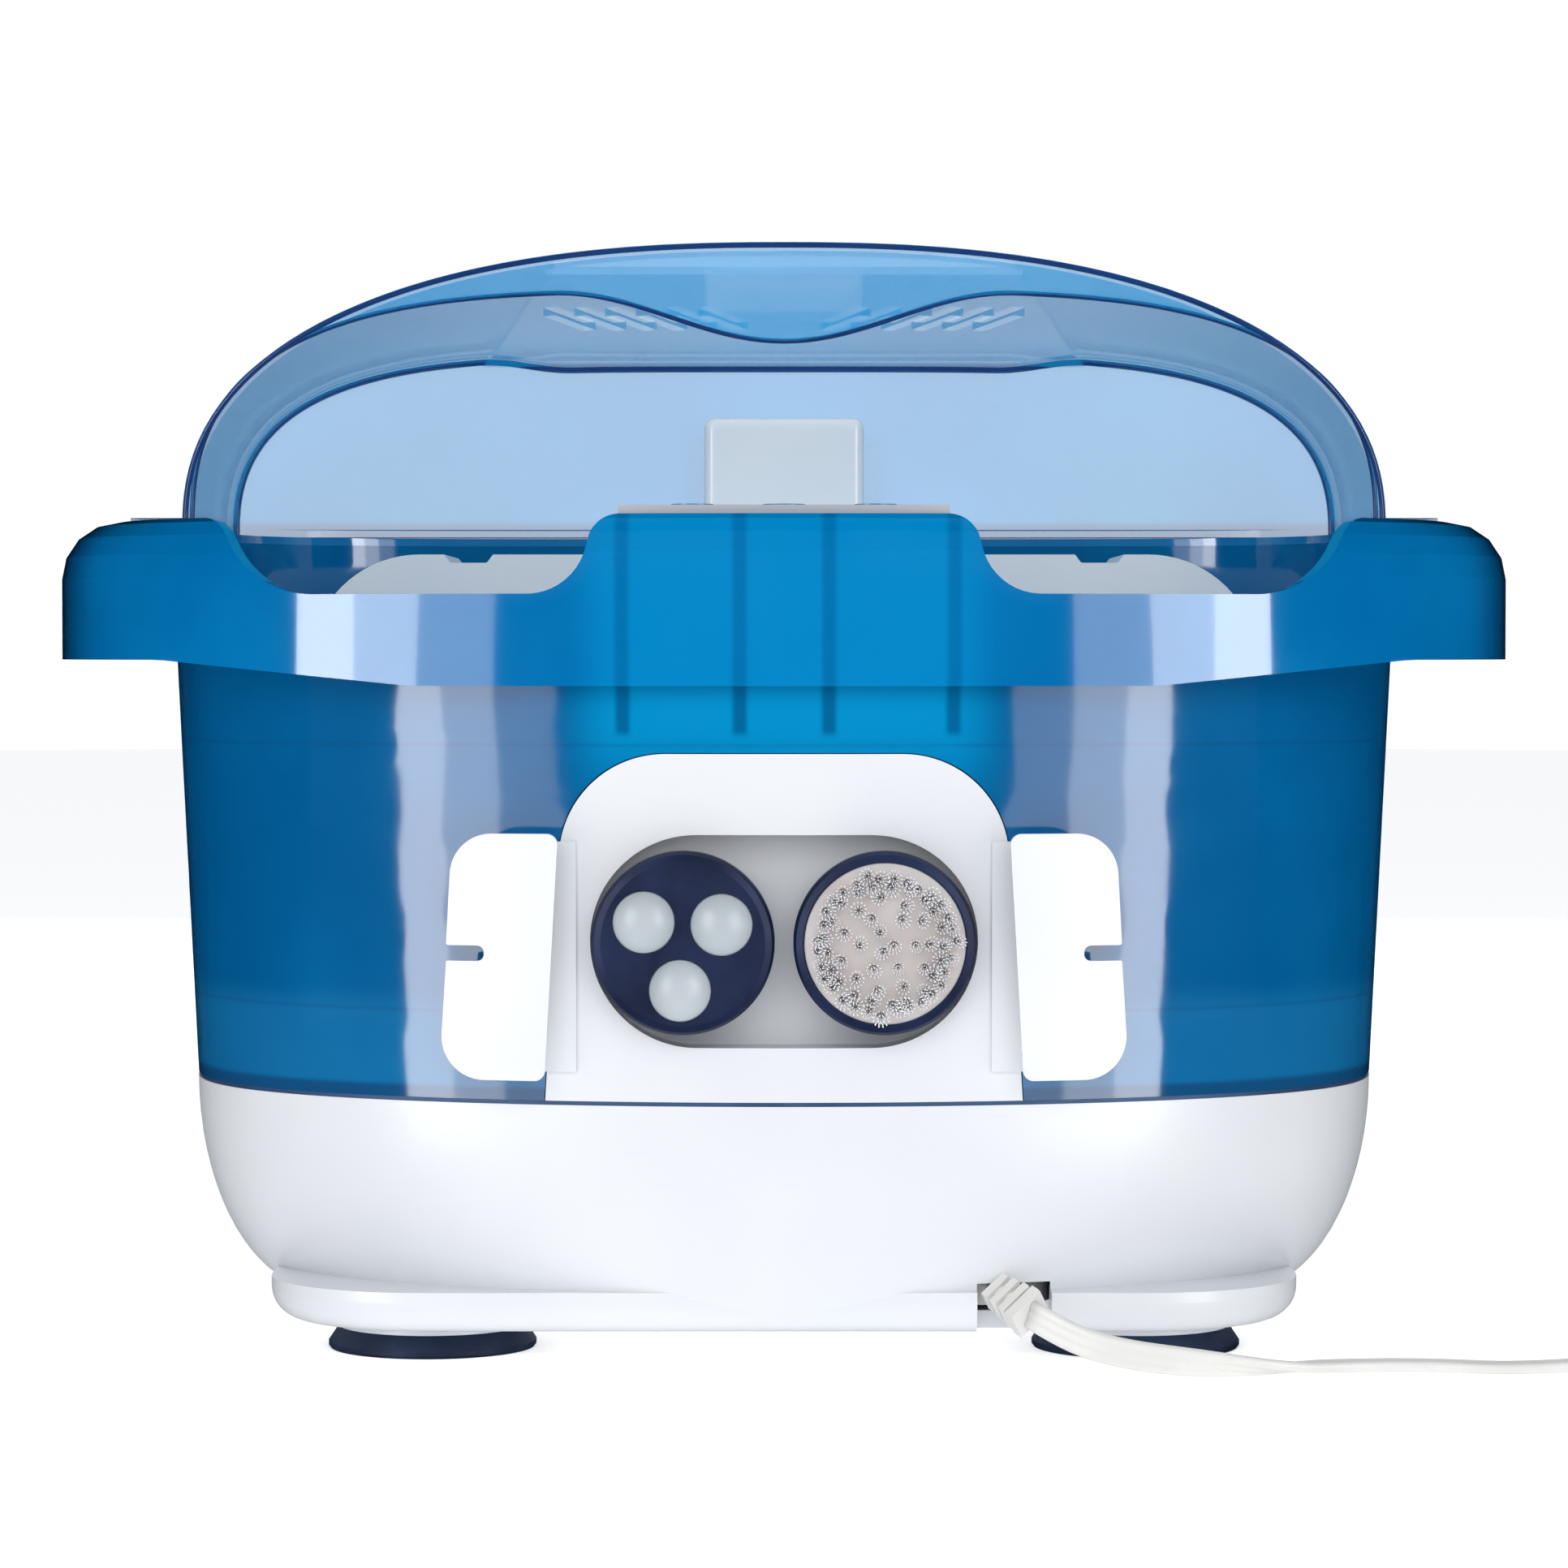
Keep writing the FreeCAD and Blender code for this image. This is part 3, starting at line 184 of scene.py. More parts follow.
def swept_cord(name, line, distances):
    shape = bmesh.new()
    section = cord_section()
    rings = []
    for index, place in enumerate(line):
        along = (line[min(index + 1, len(line) - 1)] - line[max(index - 1, 0)]).normalized()
        level = along.cross(Vector((0, 0, 1))).normalized()
        upright = level.cross(along)
        angle = twist_at(distances[index]) * math.pi / 2
        across = upright * math.cos(angle) + level * math.sin(angle)
        through = along.cross(across)
        rings.append([shape.verts.new(place + (across * x + through * y) * MM) for x, y in section])
    for one, two in zip(rings, rings[1:]):
        for i in range(len(section)):
            j = (i + 1) % len(section)
            shape.faces.new((one[i], one[j], two[j], two[i])).smooth = True
    shape.faces.new(rings[0])
    shape.faces.new(rings[-1])
    bmesh.ops.recalc_face_normals(shape, faces=shape.faces)
    mesh = bpy.data.meshes.new(name)
    shape.to_mesh(mesh)
    shape.free()
    return new_piece(name, mesh)


flat_cord = swept_cord("flat_cord", line, distances)
lowest = min(v.co.z for v in flat_cord.data.vertices)
print("flat_cord faces", len(flat_cord.data.polygons), "lowest point", round(lowest / MM, 2), "mm")

# %% [markdown]
# ## Writing node maths as Python
# Finishes and repeated shapes are both made of nodes. One small class wraps a socket, so that sums
# are written as sums. One more class holds a node tree and adds every other node by one method.


# %% Sockets that add up
class Value:
    """A node socket that carries a number and can be used in Python expressions."""

    def __init__(self, graph, socket):
        self.graph, self.socket = graph, socket

    def _with(self, operation, *others):
        return self.graph.add("ShaderNodeMath", {"operation": operation}, dict(enumerate((self, *others))))

    def __add__(self, other):
        return self._with("ADD", other)

    __radd__ = __add__

    def __sub__(self, other):
        return self._with("SUBTRACT", other)

    def __rsub__(self, other):
        return self.graph.add("ShaderNodeMath", {"operation": "SUBTRACT"}, {0: other, 1: self})

    def __mul__(self, other):
        return self._with("MULTIPLY", other)

    __rmul__ = __mul__

    def __truediv__(self, other):
        return self._with("DIVIDE", other)

    def __rtruediv__(self, other):
        return self.graph.add("ShaderNodeMath", {"operation": "DIVIDE"}, {0: other, 1: self})

    def __pow__(self, other):
        return self._with("POWER", other)

    def __abs__(self):
        return self._with("ABSOLUTE")

    def step(self, low, high):
        """0 below low and 1 above high, smooth between them."""
        settings = {"interpolation_type": "SMOOTHSTEP"}
        links = {"Value": self, "From Min": low, "From Max": high}
        return self.graph.add("ShaderNodeMapRange", settings, links)

    def near(self, middle, reach, soft):
        """1 within reach of middle, falling to 0 over soft."""
        return 1 - abs(self - middle).step(reach, reach + soft)


class Graph:
    """A node tree and the way nodes are added to it."""

    def __init__(self, tree):
        self.tree = tree

    def add(self, kind, settings=None, links=None, out=0):
        """Adds a node, sets it up, then fills its sockets with values or links. Gives one output."""
        node = self.tree.nodes.new(kind)
        for name, value in (settings or {}).items():
            setattr(node, name, value)
        for key, value in (links or {}).items():
            self.fill(node.inputs[key], value)
        return Value(self, node.outputs[out])

    def fill(self, socket, value):
        if isinstance(value, Value):
            self.tree.links.new(value.socket, socket)
        else:
            socket.default_value = value


print("node classes ready")

# %% [markdown]
# ## A finish
# Each finish is one Principled shader. Its colour, roughness and fine relief come from noise on the
# piece's own coordinates, so the pattern moves with the piece. The numbers that are the same all
# over are set straight on the shader.


# %% Finish class
def srgb(red, green, blue):
    """A colour given as 0 to 255 on screen, as the shader wants it."""
    def linear(part):
        part /= 255
        return part / 12.92 if part <= 0.04045 else ((part + 0.055) / 1.055) ** 2.4
    return (linear(red), linear(green), linear(blue), 1.0)


class Finish(Graph):
    def __init__(self, name, **fixed):
        self.material = bpy.data.materials.new(name)
        self.material.use_nodes = True
        super().__init__(self.material.node_tree)
        self.shader = self.tree.nodes["Principled BSDF"]
        for key, value in fixed.items():
            self.shader.inputs[key.replace("_", " ")].default_value = value
        self.place = self.add("ShaderNodeTexCoord", out="Object")
        parts = self.tree.nodes.new("ShaderNodeSeparateXYZ")
        self.tree.links.new(self.place.socket, parts.inputs[0])
        self.x, self.y, self.z = (Value(self, parts.outputs[i]) for i in range(3))

    def noise(self, scale, detail=3.0):
        return self.add("ShaderNodeTexNoise", None, {"Vector": self.place, "Scale": scale, "Detail": detail})

    def cells(self, scale):
        return self.add("ShaderNodeTexVoronoi", None, {"Vector": self.place, "Scale": scale}, out="Distance")

    def mix(self, factor, one, two):
        """A colour between two colours."""
        node = self.tree.nodes.new("ShaderNodeMix")
        node.data_type = "RGBA"
        for index, value in ((0, factor), (6, one), (7, two)):
            self.fill(node.inputs[index], value)
        return Value(self, node.outputs[2])

    def give(self, name, value):
        self.fill(self.shader.inputs[name], value)

    def relief(self, *layers):
        """Bump layers, each a height, its strength and its depth in metres."""
        normal = None
        for height, strength, depth in layers:
            links = {"Height": height, "Strength": strength, "Distance": depth}
            if normal:
                links["Normal"] = normal
            normal = self.add("ShaderNodeBump", None, links)
        self.give("Normal", normal)


print("finish class ready")

# %% [markdown]
# ## White moulded plastic
# The base, the panel and the console are white ABS. It is nearly smooth: a very fine spark-eroded
# grain takes the edge off the shine, and the colour drifts by a hair from place to place.


# %% White plastics
def white_plastic(name, light, shade, rough=0.34):
    finish = Finish(name, Coat_Roughness=0.2, IOR=1.5)
    drift = finish.noise(14.0, 2.0).step(0.3, 0.7)
    finish.give("Base Color", finish.mix(drift, light, shade))
    finish.give("Roughness", finish.noise(90.0) * 0.08 + (rough - 0.04))
    finish.give("Coat Weight", 0.12 + finish.noise(6.0) * 0.1)
    finish.relief((finish.cells(1900.0), 0.07, 0.00004), (finish.noise(420.0), 0.056, 0.00006))
    return finish.material


WHITE_SHELL = white_plastic("white_shell", srgb(230, 232, 236), srgb(225, 228, 233))
WHITE_INNER = white_plastic("white_inner", srgb(226, 237, 245), srgb(218, 232, 243), rough=0.3)
print("white plastics made")

# %% [markdown]
# ## Tinted clear plastic
# The tub, apron and guard are one family: clear plastic with a blue dye. Such a wall is easy to see
# through face on and hard to see through along its edge, so how solid it looks follows the angle
# of the surface. That is what draws the dark line round the edge of the real guard.


# %% Clear blue plastics
RIB_PLACES = (-45.3, -12.4, 12.6, 47.6)
RIB_HALF, RIB_SOFT = 0.9, 2.2
FRONT_START, FRONT_END = -125, -130


def clear_plastic(name, face, edge, coat=0.9):
    """A dyed clear plastic. face and edge say how solid it looks straight on and along the edge."""
    finish = Finish(name, IOR=1.5, Coat_Roughness=0.04)
    grazing = finish.add("ShaderNodeLayerWeight", None, {"Blend": 0.4}, out="Facing")
    finish.solid = (grazing**3) * (edge - face) + face
    finish.give("Roughness", finish.noise(34.0) * 0.05 + 0.05)
    finish.give("Coat Weight", finish.noise(9.0) * 0.1 + (coat - 0.05))
    finish.relief((finish.noise(22.0, 1.0), 0.05, 0.0005), (finish.noise(240.0), 0.04, 0.00006))
    finish.haze = finish.noise(17.0, 4.0).step(0.3, 0.75)
    return finish


def rib_stripes(finish, low):
    """Dark where the upright ribs behind the front wall touch it."""
    stripes = 0.0
    for place in RIB_PLACES:
        stripes = finish.x.near(place * MM, RIB_HALF * MM, RIB_SOFT * MM) + stripes
    front = 1 - finish.y.step(FRONT_END * MM, FRONT_START * MM)
    return stripes * finish.z.step(low * MM, (low + 3) * MM) * front


def tub_blue():
    finish = clear_plastic("blue_tub", 0.9, 0.99, coat=0.2)
    depth = finish.mix(finish.haze, srgb(0, 92, 150), srgb(2, 104, 163))
    # Painted light: above the window, the middle of the front wall is painted a brighter blue. It is a
    # painted glow for the lit block behind the wall.
    middle = (1 - abs(finish.x).step(0.046, 0.068)) * finish.z.step(0.150, 0.185)
    painted_glow = finish.mix(middle, depth, srgb(0, 146, 206))
    low = finish.z.near(0.086, 0.012, 0.010)
    pale = finish.mix(low * 0.35, painted_glow, srgb(36, 132, 186))
    seam = finish.z.near(0.0765, 0.0016, 0.002)
    lines = finish.z.near(0.1761, 0.0002, 0.0006) + finish.z.near(0.1005, 0.0002, 0.0006)
    edged = finish.mix(seam * 0.75 + lines * 0.25, pale, srgb(20, 66, 112))
    finish.give("Base Color", finish.mix(rib_stripes(finish, 177.7) * 0.6, edged, srgb(0, 58, 112)))
    finish.give("Alpha", finish.solid)
    return finish.material


def apron_blue():
    finish = clear_plastic("blue_apron", 0.92, 0.99)
    depth = finish.mix(finish.haze, srgb(0, 108, 172), srgb(3, 120, 184))
    # Painted light: the middle of the apron is painted a brighter blue, a painted glow.
    middle = 1 - abs(finish.x).step(0.046, 0.062)
    painted_glow = finish.mix(middle * 0.9, depth, srgb(0, 134, 198))
    # Painted shade: the outer ends of the wings are painted a darker blue.
    wing_painted_shade = abs(finish.x).step(0.1995, 0.2165)
    dark = finish.mix(wing_painted_shade * 0.55, painted_glow, srgb(10, 56, 108))
    finish.give("Base Color", finish.mix(rib_stripes(finish, 190) * 0.45, dark, srgb(0, 78, 138)))
    finish.give("Alpha", finish.solid)
    return finish.material


def guard_blue():
    finish = clear_plastic("blue_guard", 0.31, 0.93, coat=0.5)
    depth = finish.mix(finish.haze, srgb(14, 168, 236), srgb(36, 180, 244))
    foot = finish.z.near(0.2425, 0.0018, 0.003)
    finish.give("Base Color", finish.mix(foot * 0.6, depth, srgb(24, 66, 128)))
    rear_wall = finish.y.step(0.11, 0.14)
    finish.give("Alpha", finish.solid + (1 - finish.solid) * rear_wall * 0.14)
    return finish.material


BLUE_TUB, BLUE_APRON, BLUE_GUARD = tub_blue(), apron_blue(), guard_blue()
print("clear plastics made")

# %% [markdown]
# ## Rubber, metal and small finishes
# The suction cups and the cups of the massage heads are soft and dark, so their relief is deeper and
# their shine wider. The metals get fine brushing, and the cord gets the faint waviness of extruded PVC.


# %% Other finishes
def moulded(name, light, shade, rough, grain, scale=600.0, **fixed):
    """A moulded material with its own mottle, grain and uneven shine."""
    finish = Finish(name, **fixed)
    mottle = finish.noise(scale / 12, 3.0).step(0.25, 0.75)
    finish.give("Base Color", finish.mix(mottle, light, shade))
    finish.give("Roughness", finish.noise(scale / 5) * 0.14 + (rough - 0.07))
    finish.relief((finish.noise(scale, 4.0), grain, 0.00008))
    return finish.material


def brushed(name, light, shade, rough, metallic=1.0):
    """A metal with fine lines along its width."""
    finish = Finish(name, Metallic=metallic)
    mapping = finish.add("ShaderNodeMapping", None, {"Vector": finish.place, "Scale": (60.0, 1800.0, 1800.0)})
    lines = finish.add("ShaderNodeTexNoise", None, {"Vector": mapping, "Scale": 1.0, "Detail": 2.0})
    finish.give("Base Color", finish.mix(lines, light, shade))
    finish.give("Roughness", lines * 0.12 + rough)
    finish.relief((lines, 0.08, 0.00002))
    return finish.material


def bristle_nylon():
    """White nylon, yellowed and shaded down at the roots."""
    finish = Finish("bristle_nylon")
    root = finish.y.step(-0.1710, -0.1688)
    hue = finish.mix(finish.noise(900.0), srgb(252, 252, 252), srgb(240, 240, 244))
    finish.give("Base Color", finish.mix(root * 0.25, hue, srgb(188, 150, 126)))
    finish.give("Roughness", finish.noise(1200.0) * 0.2 + 0.3)
    return finish.material


NAVY_CUP = moulded("cup_rubber", srgb(38, 54, 82), srgb(18, 31, 54), 0.55, 0.25, Specular_IOR_Level=0.2)
NAVY_HEAD = moulded("navy_head", srgb(26, 40, 76), srgb(11, 24, 54), 0.46, 0.15, Specular_IOR_Level=0.2)
PEARL = moulded("pearl_ball", srgb(188, 196, 202), srgb(178, 187, 193), 0.42, 0.05,
                Subsurface_Weight=0.3, Subsurface_Scale=0.004)
FROST = moulded("frost_disc", srgb(214, 209, 207), srgb(200, 192, 190), 0.4, 0.1,
                Subsurface_Weight=0.25, Subsurface_Scale=0.003)
CORD_WHITE = moulded("cord_white", srgb(232, 231, 228), srgb(222, 221, 218), 0.48, 0.10)
DARK_SEAL = moulded("dark_seal", srgb(40, 82, 128), srgb(30, 68, 112), 0.5, 0.15)
BLACK = moulded("control_black", srgb(18, 19, 23), srgb(10, 11, 14), 0.25, 0.05, Coat_Weight=0.6)
BUTTON_BLUE = moulded("button_blue", srgb(60, 140, 200), srgb(48, 126, 188), 0.3, 0.06, Coat_Weight=0.4)
BOARD_GREEN = moulded("board_green", srgb(26, 92, 58), srgb(18, 78, 46), 0.4, 0.1)
WORKS_GREY = moulded("works_grey", srgb(120, 124, 130), srgb(104, 108, 115), 0.45, 0.15)
HOSE_CLEAR = moulded("hose_clear", srgb(214, 218, 216), srgb(198, 204, 202), 0.3, 0.05, Alpha=0.75)
CHROME = brushed("bezel_chrome", (0.86, 0.88, 0.92, 1), (0.78, 0.80, 0.85, 1), 0.04, metallic=0.45)
STEEL = brushed("motor_steel", (0.55, 0.56, 0.58, 1), (0.45, 0.46, 0.48, 1), 0.24)
SCREW = brushed("screw_steel", (0.52, 0.53, 0.56, 1), (0.42, 0.43, 0.46, 1), 0.26)
AXLE = brushed("axle_steel", (0.68, 0.69, 0.71, 1), (0.60, 0.61, 0.64, 1), 0.16)
ALUMINIUM = brushed("heater_aluminium", (0.70, 0.71, 0.73, 1), (0.62, 0.63, 0.66, 1), 0.3)
BRASS = brushed("blade_brass", (0.74, 0.60, 0.32, 1), (0.66, 0.52, 0.26, 1), 0.16)
BRISTLE = bristle_nylon()
print("other finishes made")

# %% [markdown]
# ## Dressing the engineering parts
# Each part names the material slot it belongs to in the record. One table turns a slot into a finish,
# so no part can be forgotten: the loop stops if a slot has no finish.

# %% Slot to finish
FINISHES = {
    "white_shell": WHITE_SHELL, "white_inner": WHITE_INNER, "blue_tub": BLUE_TUB, "blue_apron": BLUE_APRON,
    "blue_guard": BLUE_GUARD, "dark_seal": DARK_SEAL, "cup_rubber": NAVY_CUP, "navy_head": NAVY_HEAD,
    "pearl_ball": PEARL, "frost_disc": FROST, "bristle_nylon": BRISTLE, "bezel_chrome": CHROME,
    "control_black": BLACK, "button_blue": BUTTON_BLUE, "board_green": BOARD_GREEN,
    "heater_aluminium": ALUMINIUM, "motor_steel": STEEL, "works_grey": WORKS_GREY, "hose_clear": HOSE_CLEAR,
    "screw_steel": SCREW, "axle_steel": AXLE, "cord_white": CORD_WHITE, "blade_brass": BRASS,
}
slot_of = {}
for entry in frame["record"]["materials"]:
    for node in entry.get("nodes", []):
        slot_of[node] = entry["slot"]
for part in frame["record"].get("subparts", []):
    if part.get("material_slot"):
        slot_of[part["node"]] = part["material_slot"]
undressed = sorted(set(NODES) - set(slot_of))
print("parts with no slot", undressed)
for node, part in NODES.items():
    finish = FINISHES[slot_of[node]]
    if not part.data.materials:
        part.data.materials.append(finish)
    for index in range(len(part.data.materials)):
        part.data.materials[index] = finish
print("dressed", len(NODES), "parts")

# %% [markdown]
# ## The brush's bristles
# The brush carries about seventy tufts, set in rough rings on a milky disc, and each tuft has frayed
# open. A tuft is the same shape each time, so Geometry Nodes build one and place it on ring points
# that a seeded random shift makes uneven.

# %% Tuft tree
BRUSH_CENTRE = (0.0282, -0.1686, 0.121)
TUFT_SHIFT, TUFT_TILT = 0.0009, 0.14
RINGS = [(0.0190, 31), (0.0165, 21), (0.0124, 11), (0.0076, 6), (0.0026, 3)]


def named_input(tree, name, kind, value):
    socket = tree.interface.new_socket(name, in_out="INPUT", socket_type="NodeSocket" + kind)
    socket.default_value = value
    return socket.identifier


def geometry_graph(name, inputs):
    """A Geometry Nodes tree with named inputs. Gives its graph, its inputs' sockets and identifiers."""
    tree = bpy.data.node_groups.new(name, "GeometryNodeTree")
    tree.interface.new_socket("Geometry", in_out="OUTPUT", socket_type="NodeSocketGeometry")
    keys = {key: named_input(tree, key, kind, value) for key, (kind, value) in inputs.items()}
    graph = Graph(tree)
    entry = tree.nodes.new("NodeGroupInput")
    return graph, {key: Value(graph, entry.outputs[key]) for key in inputs}, keys


def finish_graph(graph, geometry, material):
    """Ends a tree in plain, dressed faces."""
    plain = graph.add("GeometryNodeRealizeInstances", None, {"Geometry": geometry})
    dressed = graph.add("GeometryNodeSetMaterial", None, {"Geometry": plain, "Material": material})
    out = graph.tree.nodes.new("NodeGroupOutput")
    graph.fill(out.inputs[0], dressed)


def grown(name, graph, keys, values):
    """Runs a tree on an empty mesh and keeps the result as a plain mesh."""
    piece = new_piece(name, bpy.data.meshes.new(name + "_start"))
    modifier = piece.modifiers.new("grow", "NODES")
    modifier.node_group = graph.tree
    for key, value in values.items():
        modifier[keys[key]] = value
    evaluated = piece.evaluated_get(bpy.context.evaluated_depsgraph_get())
    mesh = bpy.data.meshes.new_from_object(evaluated)
    piece.modifiers.clear()
    piece.data = mesh
    mesh.name = name
    return piece


def tuft_tree():
    inputs = {"Bristle length": ("Float", 0.006), "Bristle radius": ("Float", 0.00022),
              "Splay": ("Float", 260.0), "Seed": ("Int", 4)}
    graph, given, keys = geometry_graph("tufts", inputs)
    links = {"Vertices": 4, "Radius Top": 0.00019, "Radius Bottom": given["Bristle radius"],
             "Depth": given["Bristle length"]}
    bristle = graph.add("GeometryNodeMeshCone", None, links)
    foot = graph.add("GeometryNodeMeshCircle", None, {"Vertices": 12, "Radius": 0.00075})
    core = graph.add("GeometryNodeMeshCircle", None, {"Vertices": 7, "Radius": 0.00034})
    feet = graph.add("GeometryNodeJoinGeometry")
    join = feet.socket.node
    for one in (foot, core):
        graph.tree.links.new(one.socket, join.inputs[0])
    place = graph.add("GeometryNodeInputPosition")
    parts = graph.tree.nodes.new("ShaderNodeSeparateXYZ")
    graph.fill(parts.inputs[0], place)
    along, across = (Value(graph, parts.outputs[i]) for i in (0, 1))
    lean = graph.add("ShaderNodeCombineXYZ", None,
                     {0: across * given["Splay"] * -1.0, 1: along * given["Splay"], 2: 0.0})
    tuft = graph.add("GeometryNodeInstanceOnPoints", None,
                     {"Points": feet, "Instance": bristle, "Rotation": lean})
    rings = graph.add("GeometryNodeJoinGeometry")
    for radius, count in RINGS:
        ring = graph.add("GeometryNodeMeshCircle", None, {"Vertices": count, "Radius": radius})
        graph.tree.links.new(ring.socket, rings.socket.node.inputs[0])
    shift = graph.add("FunctionNodeRandomValue", {"data_type": "FLOAT_VECTOR"},
                      {0: (-TUFT_SHIFT, -TUFT_SHIFT, 0.0), 1: (TUFT_SHIFT, TUFT_SHIFT, 0.0),
                       "Seed": given["Seed"]})
    uneven = graph.add("GeometryNodeSetPosition", None, {"Geometry": rings, "Offset": shift})
    turn = graph.add("FunctionNodeRandomValue", {"data_type": "FLOAT_VECTOR"},
                     {0: (-TUFT_TILT, -TUFT_TILT, 0.0), 1: (TUFT_TILT, TUFT_TILT, 6.28),
                      "Seed": given["Seed"] + 1})
    size = graph.add("FunctionNodeRandomValue", {"data_type": "FLOAT_VECTOR"},
                     {0: (0.85, 0.85, 0.82), 1: (1.2, 1.2, 1.05), "Seed": given["Seed"] + 2})
    field = graph.add("GeometryNodeInstanceOnPoints", None,
                      {"Points": uneven, "Instance": tuft, "Rotation": turn, "Scale": size})
    placed = graph.add("GeometryNodeTransform", None,
                       {"Geometry": field, "Translation": BRUSH_CENTRE, "Rotation": (math.pi / 2, 0, 0)})
    finish_graph(graph, placed, BRISTLE)
    return graph, keys


tufts_graph, tufts_keys = tuft_tree()
bristle_tufts = grown("bristle_tufts", tufts_graph, tufts_keys, {"Bristle length": 0.0062, "Seed": 7})
print("bristle_tufts faces", len(bristle_tufts.data.polygons))
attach(bristle_tufts, "brush_head_body")
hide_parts("brush_bristles")

# %% [markdown]
# ## The guard's rolled edges
# A moulded guard has a rolled bead along each free edge, which stiffens it and shows as a dark line.
# Each bead follows the same rule: a rounded arch, with a smooth drop in its middle. So one tree with
# named sizes makes all of them, and the numbers alone make a bead the front edge, lip or back edge.
# One pale bead just outside the back edge is not a rolled edge but a painted highlight.

# %% Edge bead tree
def clear_bead(name, light, dark, solid):
    finish = Finish(name, IOR=1.5)
    finish.give("Base Color", finish.mix(finish.noise(30.0), light, dark))
    finish.give("Roughness", finish.noise(60.0) * 0.06 + 0.06)
    finish.give("Alpha", solid)
    return finish.material


BEAD_DARK = clear_bead("guard_bead_dark", srgb(34, 72, 136), srgb(20, 48, 104), 0.94)
# A painted highlight: a pale bead stands for the shine along the guard's back edge.
BEAD_PAINTED_HIGHLIGHT = clear_bead("guard_bead_pale", srgb(214, 228, 242), srgb(196, 216, 236), 0.85)

GUARD_FOOT = 0.2413
BEAD_STEPS, BEAD_SIDES = 160, 10
BEAD_SIZES = ("Half width", "Height", "Side power", "Top power", "Drop", "Drop outer", "Drop inner",
              "Depth", "Radius")


def bead_tree(material):
    """A tube along a rounded arch. The powers square its corners, and the drop lowers its middle."""
    graph, given, keys = geometry_graph("edge_bead", {key: ("Float", 0.0) for key in BEAD_SIZES})
    line = graph.add("GeometryNodeMeshLine", None, {"Count": BEAD_STEPS + 1})
    index = graph.add("GeometryNodeInputIndex")
    angle = index * (math.pi / BEAD_STEPS) - math.pi / 2
    sine = graph.add("ShaderNodeMath", {"operation": "SINE"}, {0: angle})
    across = sine * given["Half width"]
    share = graph.add("ShaderNodeClamp", None, {
        "Value": (given["Drop outer"] - abs(across)) / (given["Drop outer"] - given["Drop inner"])})
    wave = graph.add("ShaderNodeMath", {"operation": "COSINE"}, {0: share * math.pi})
    arch = abs(1 - abs(sine) ** given["Side power"]) ** (1 / given["Top power"])
    rise = arch * given["Height"] - given["Drop"] * (1 - wave) * 0.5
    place = graph.add("ShaderNodeCombineXYZ", None, {0: across, 1: given["Depth"], 2: rise + GUARD_FOOT})
    path = graph.add("GeometryNodeMeshToCurve", None, {
        "Mesh": graph.add("GeometryNodeSetPosition", None, {"Geometry": line, "Position": place})})
    ring = graph.add("GeometryNodeCurvePrimitiveCircle", None,
                     {"Resolution": BEAD_SIDES, "Radius": given["Radius"]})
    bead = graph.add("GeometryNodeCurveToMesh", None,
                     {"Curve": path, "Profile Curve": ring, "Fill Caps": True})
    smooth = graph.add("GeometryNodeSetShadeSmooth", None, {"Geometry": bead})
    finish_graph(graph, smooth, material)
    return graph, keys


BEADS = {
    "front_edge_bead": (BEAD_DARK, 0.1860, 0.0872, 2.4, 2.3, 0.0, 0.07, 0.0, -0.0036, 0.0009),
    "lip_edge_bead": (BEAD_DARK, 0.1840, 0.0730, 4.0, 2.5, 0.0156, 0.072, 0.0, -0.0030, 0.0008),
    "rear_edge_bead": (BEAD_DARK, 0.1868, 0.0612, 4.5, 2.5, 0.0040, 0.104, 0.072, 0.1500, 0.0011),
    # A painted highlight just outside the back edge's bead.
    "rear_edge_painted_highlight": (BEAD_PAINTED_HIGHLIGHT, 0.1884, 0.0632, 4.5, 2.5, 0.0042, 0.104, 0.072, 0.1496, 0.0006),
}
for name, (material, *sizes) in BEADS.items():
    bead_graph, bead_keys = bead_tree(material)
    bead = grown(name, bead_graph, bead_keys, dict(zip(BEAD_SIZES, sizes)))
    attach(bead, "guard")
    print(name, len(bead.data.polygons), "faces")

# %% [markdown]
# ## Placing the cord
# The cord gets its white finish and moves with the base. The lead and the coil of the engineering
# model are plain tubes, so this cord stands for them, and they are hidden.

# %% Cord facts
flat_cord.data.materials.append(CORD_WHITE)
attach(flat_cord, "base")
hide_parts("cord_lead", "cord_coil")
print("cord declared 1.8 m, line", round(CORD_LENGTH, 3), "m")

# %% [markdown]
# ## Floor, sky and lights
# The set is a pale floor under a pale sky. Clear plastic is mostly seen by what it reflects, so two
# tall softboxes stand in front, left and right, and draw the long pale panels on the tub. Each is
# three upright strips that get dimmer inwards, because one even panel has a hard edge on both sides.
# They only reflect, and three soft lamps do the lighting, so that each job can be set on its own.


# %% Stage
FLOOR_RADIUS, SKY_RADIUS = 9.0, 8.8
FLOOR_GLOW, SKY_GLOW, WORLD_GLOW = 0.55, 1.05, 0.46


def stage_finish(name, colour, glow):
    finish = Finish(name, Roughness=0.9, Specular_IOR_Level=0.0)
    finish.give("Base Color", finish.mix(finish.noise(3.0, 2.0) * 0.05, colour, (0.9, 0.9, 0.9, 1)))
    finish.give("Emission Color", (1, 1, 1, 1))
    finish.give("Emission Strength", glow)
    return finish.material


def stage_piece(name, build, material):
    shape = bmesh.new()
    build(shape)
    mesh = bpy.data.meshes.new(name)
    shape.to_mesh(mesh)
    shape.free()
    piece = new_piece(name, mesh)
    mesh.materials.append(material)
    return piece


def floor_disc(shape):
    bmesh.ops.create_circle(shape, cap_ends=True, segments=96, radius=FLOOR_RADIUS)


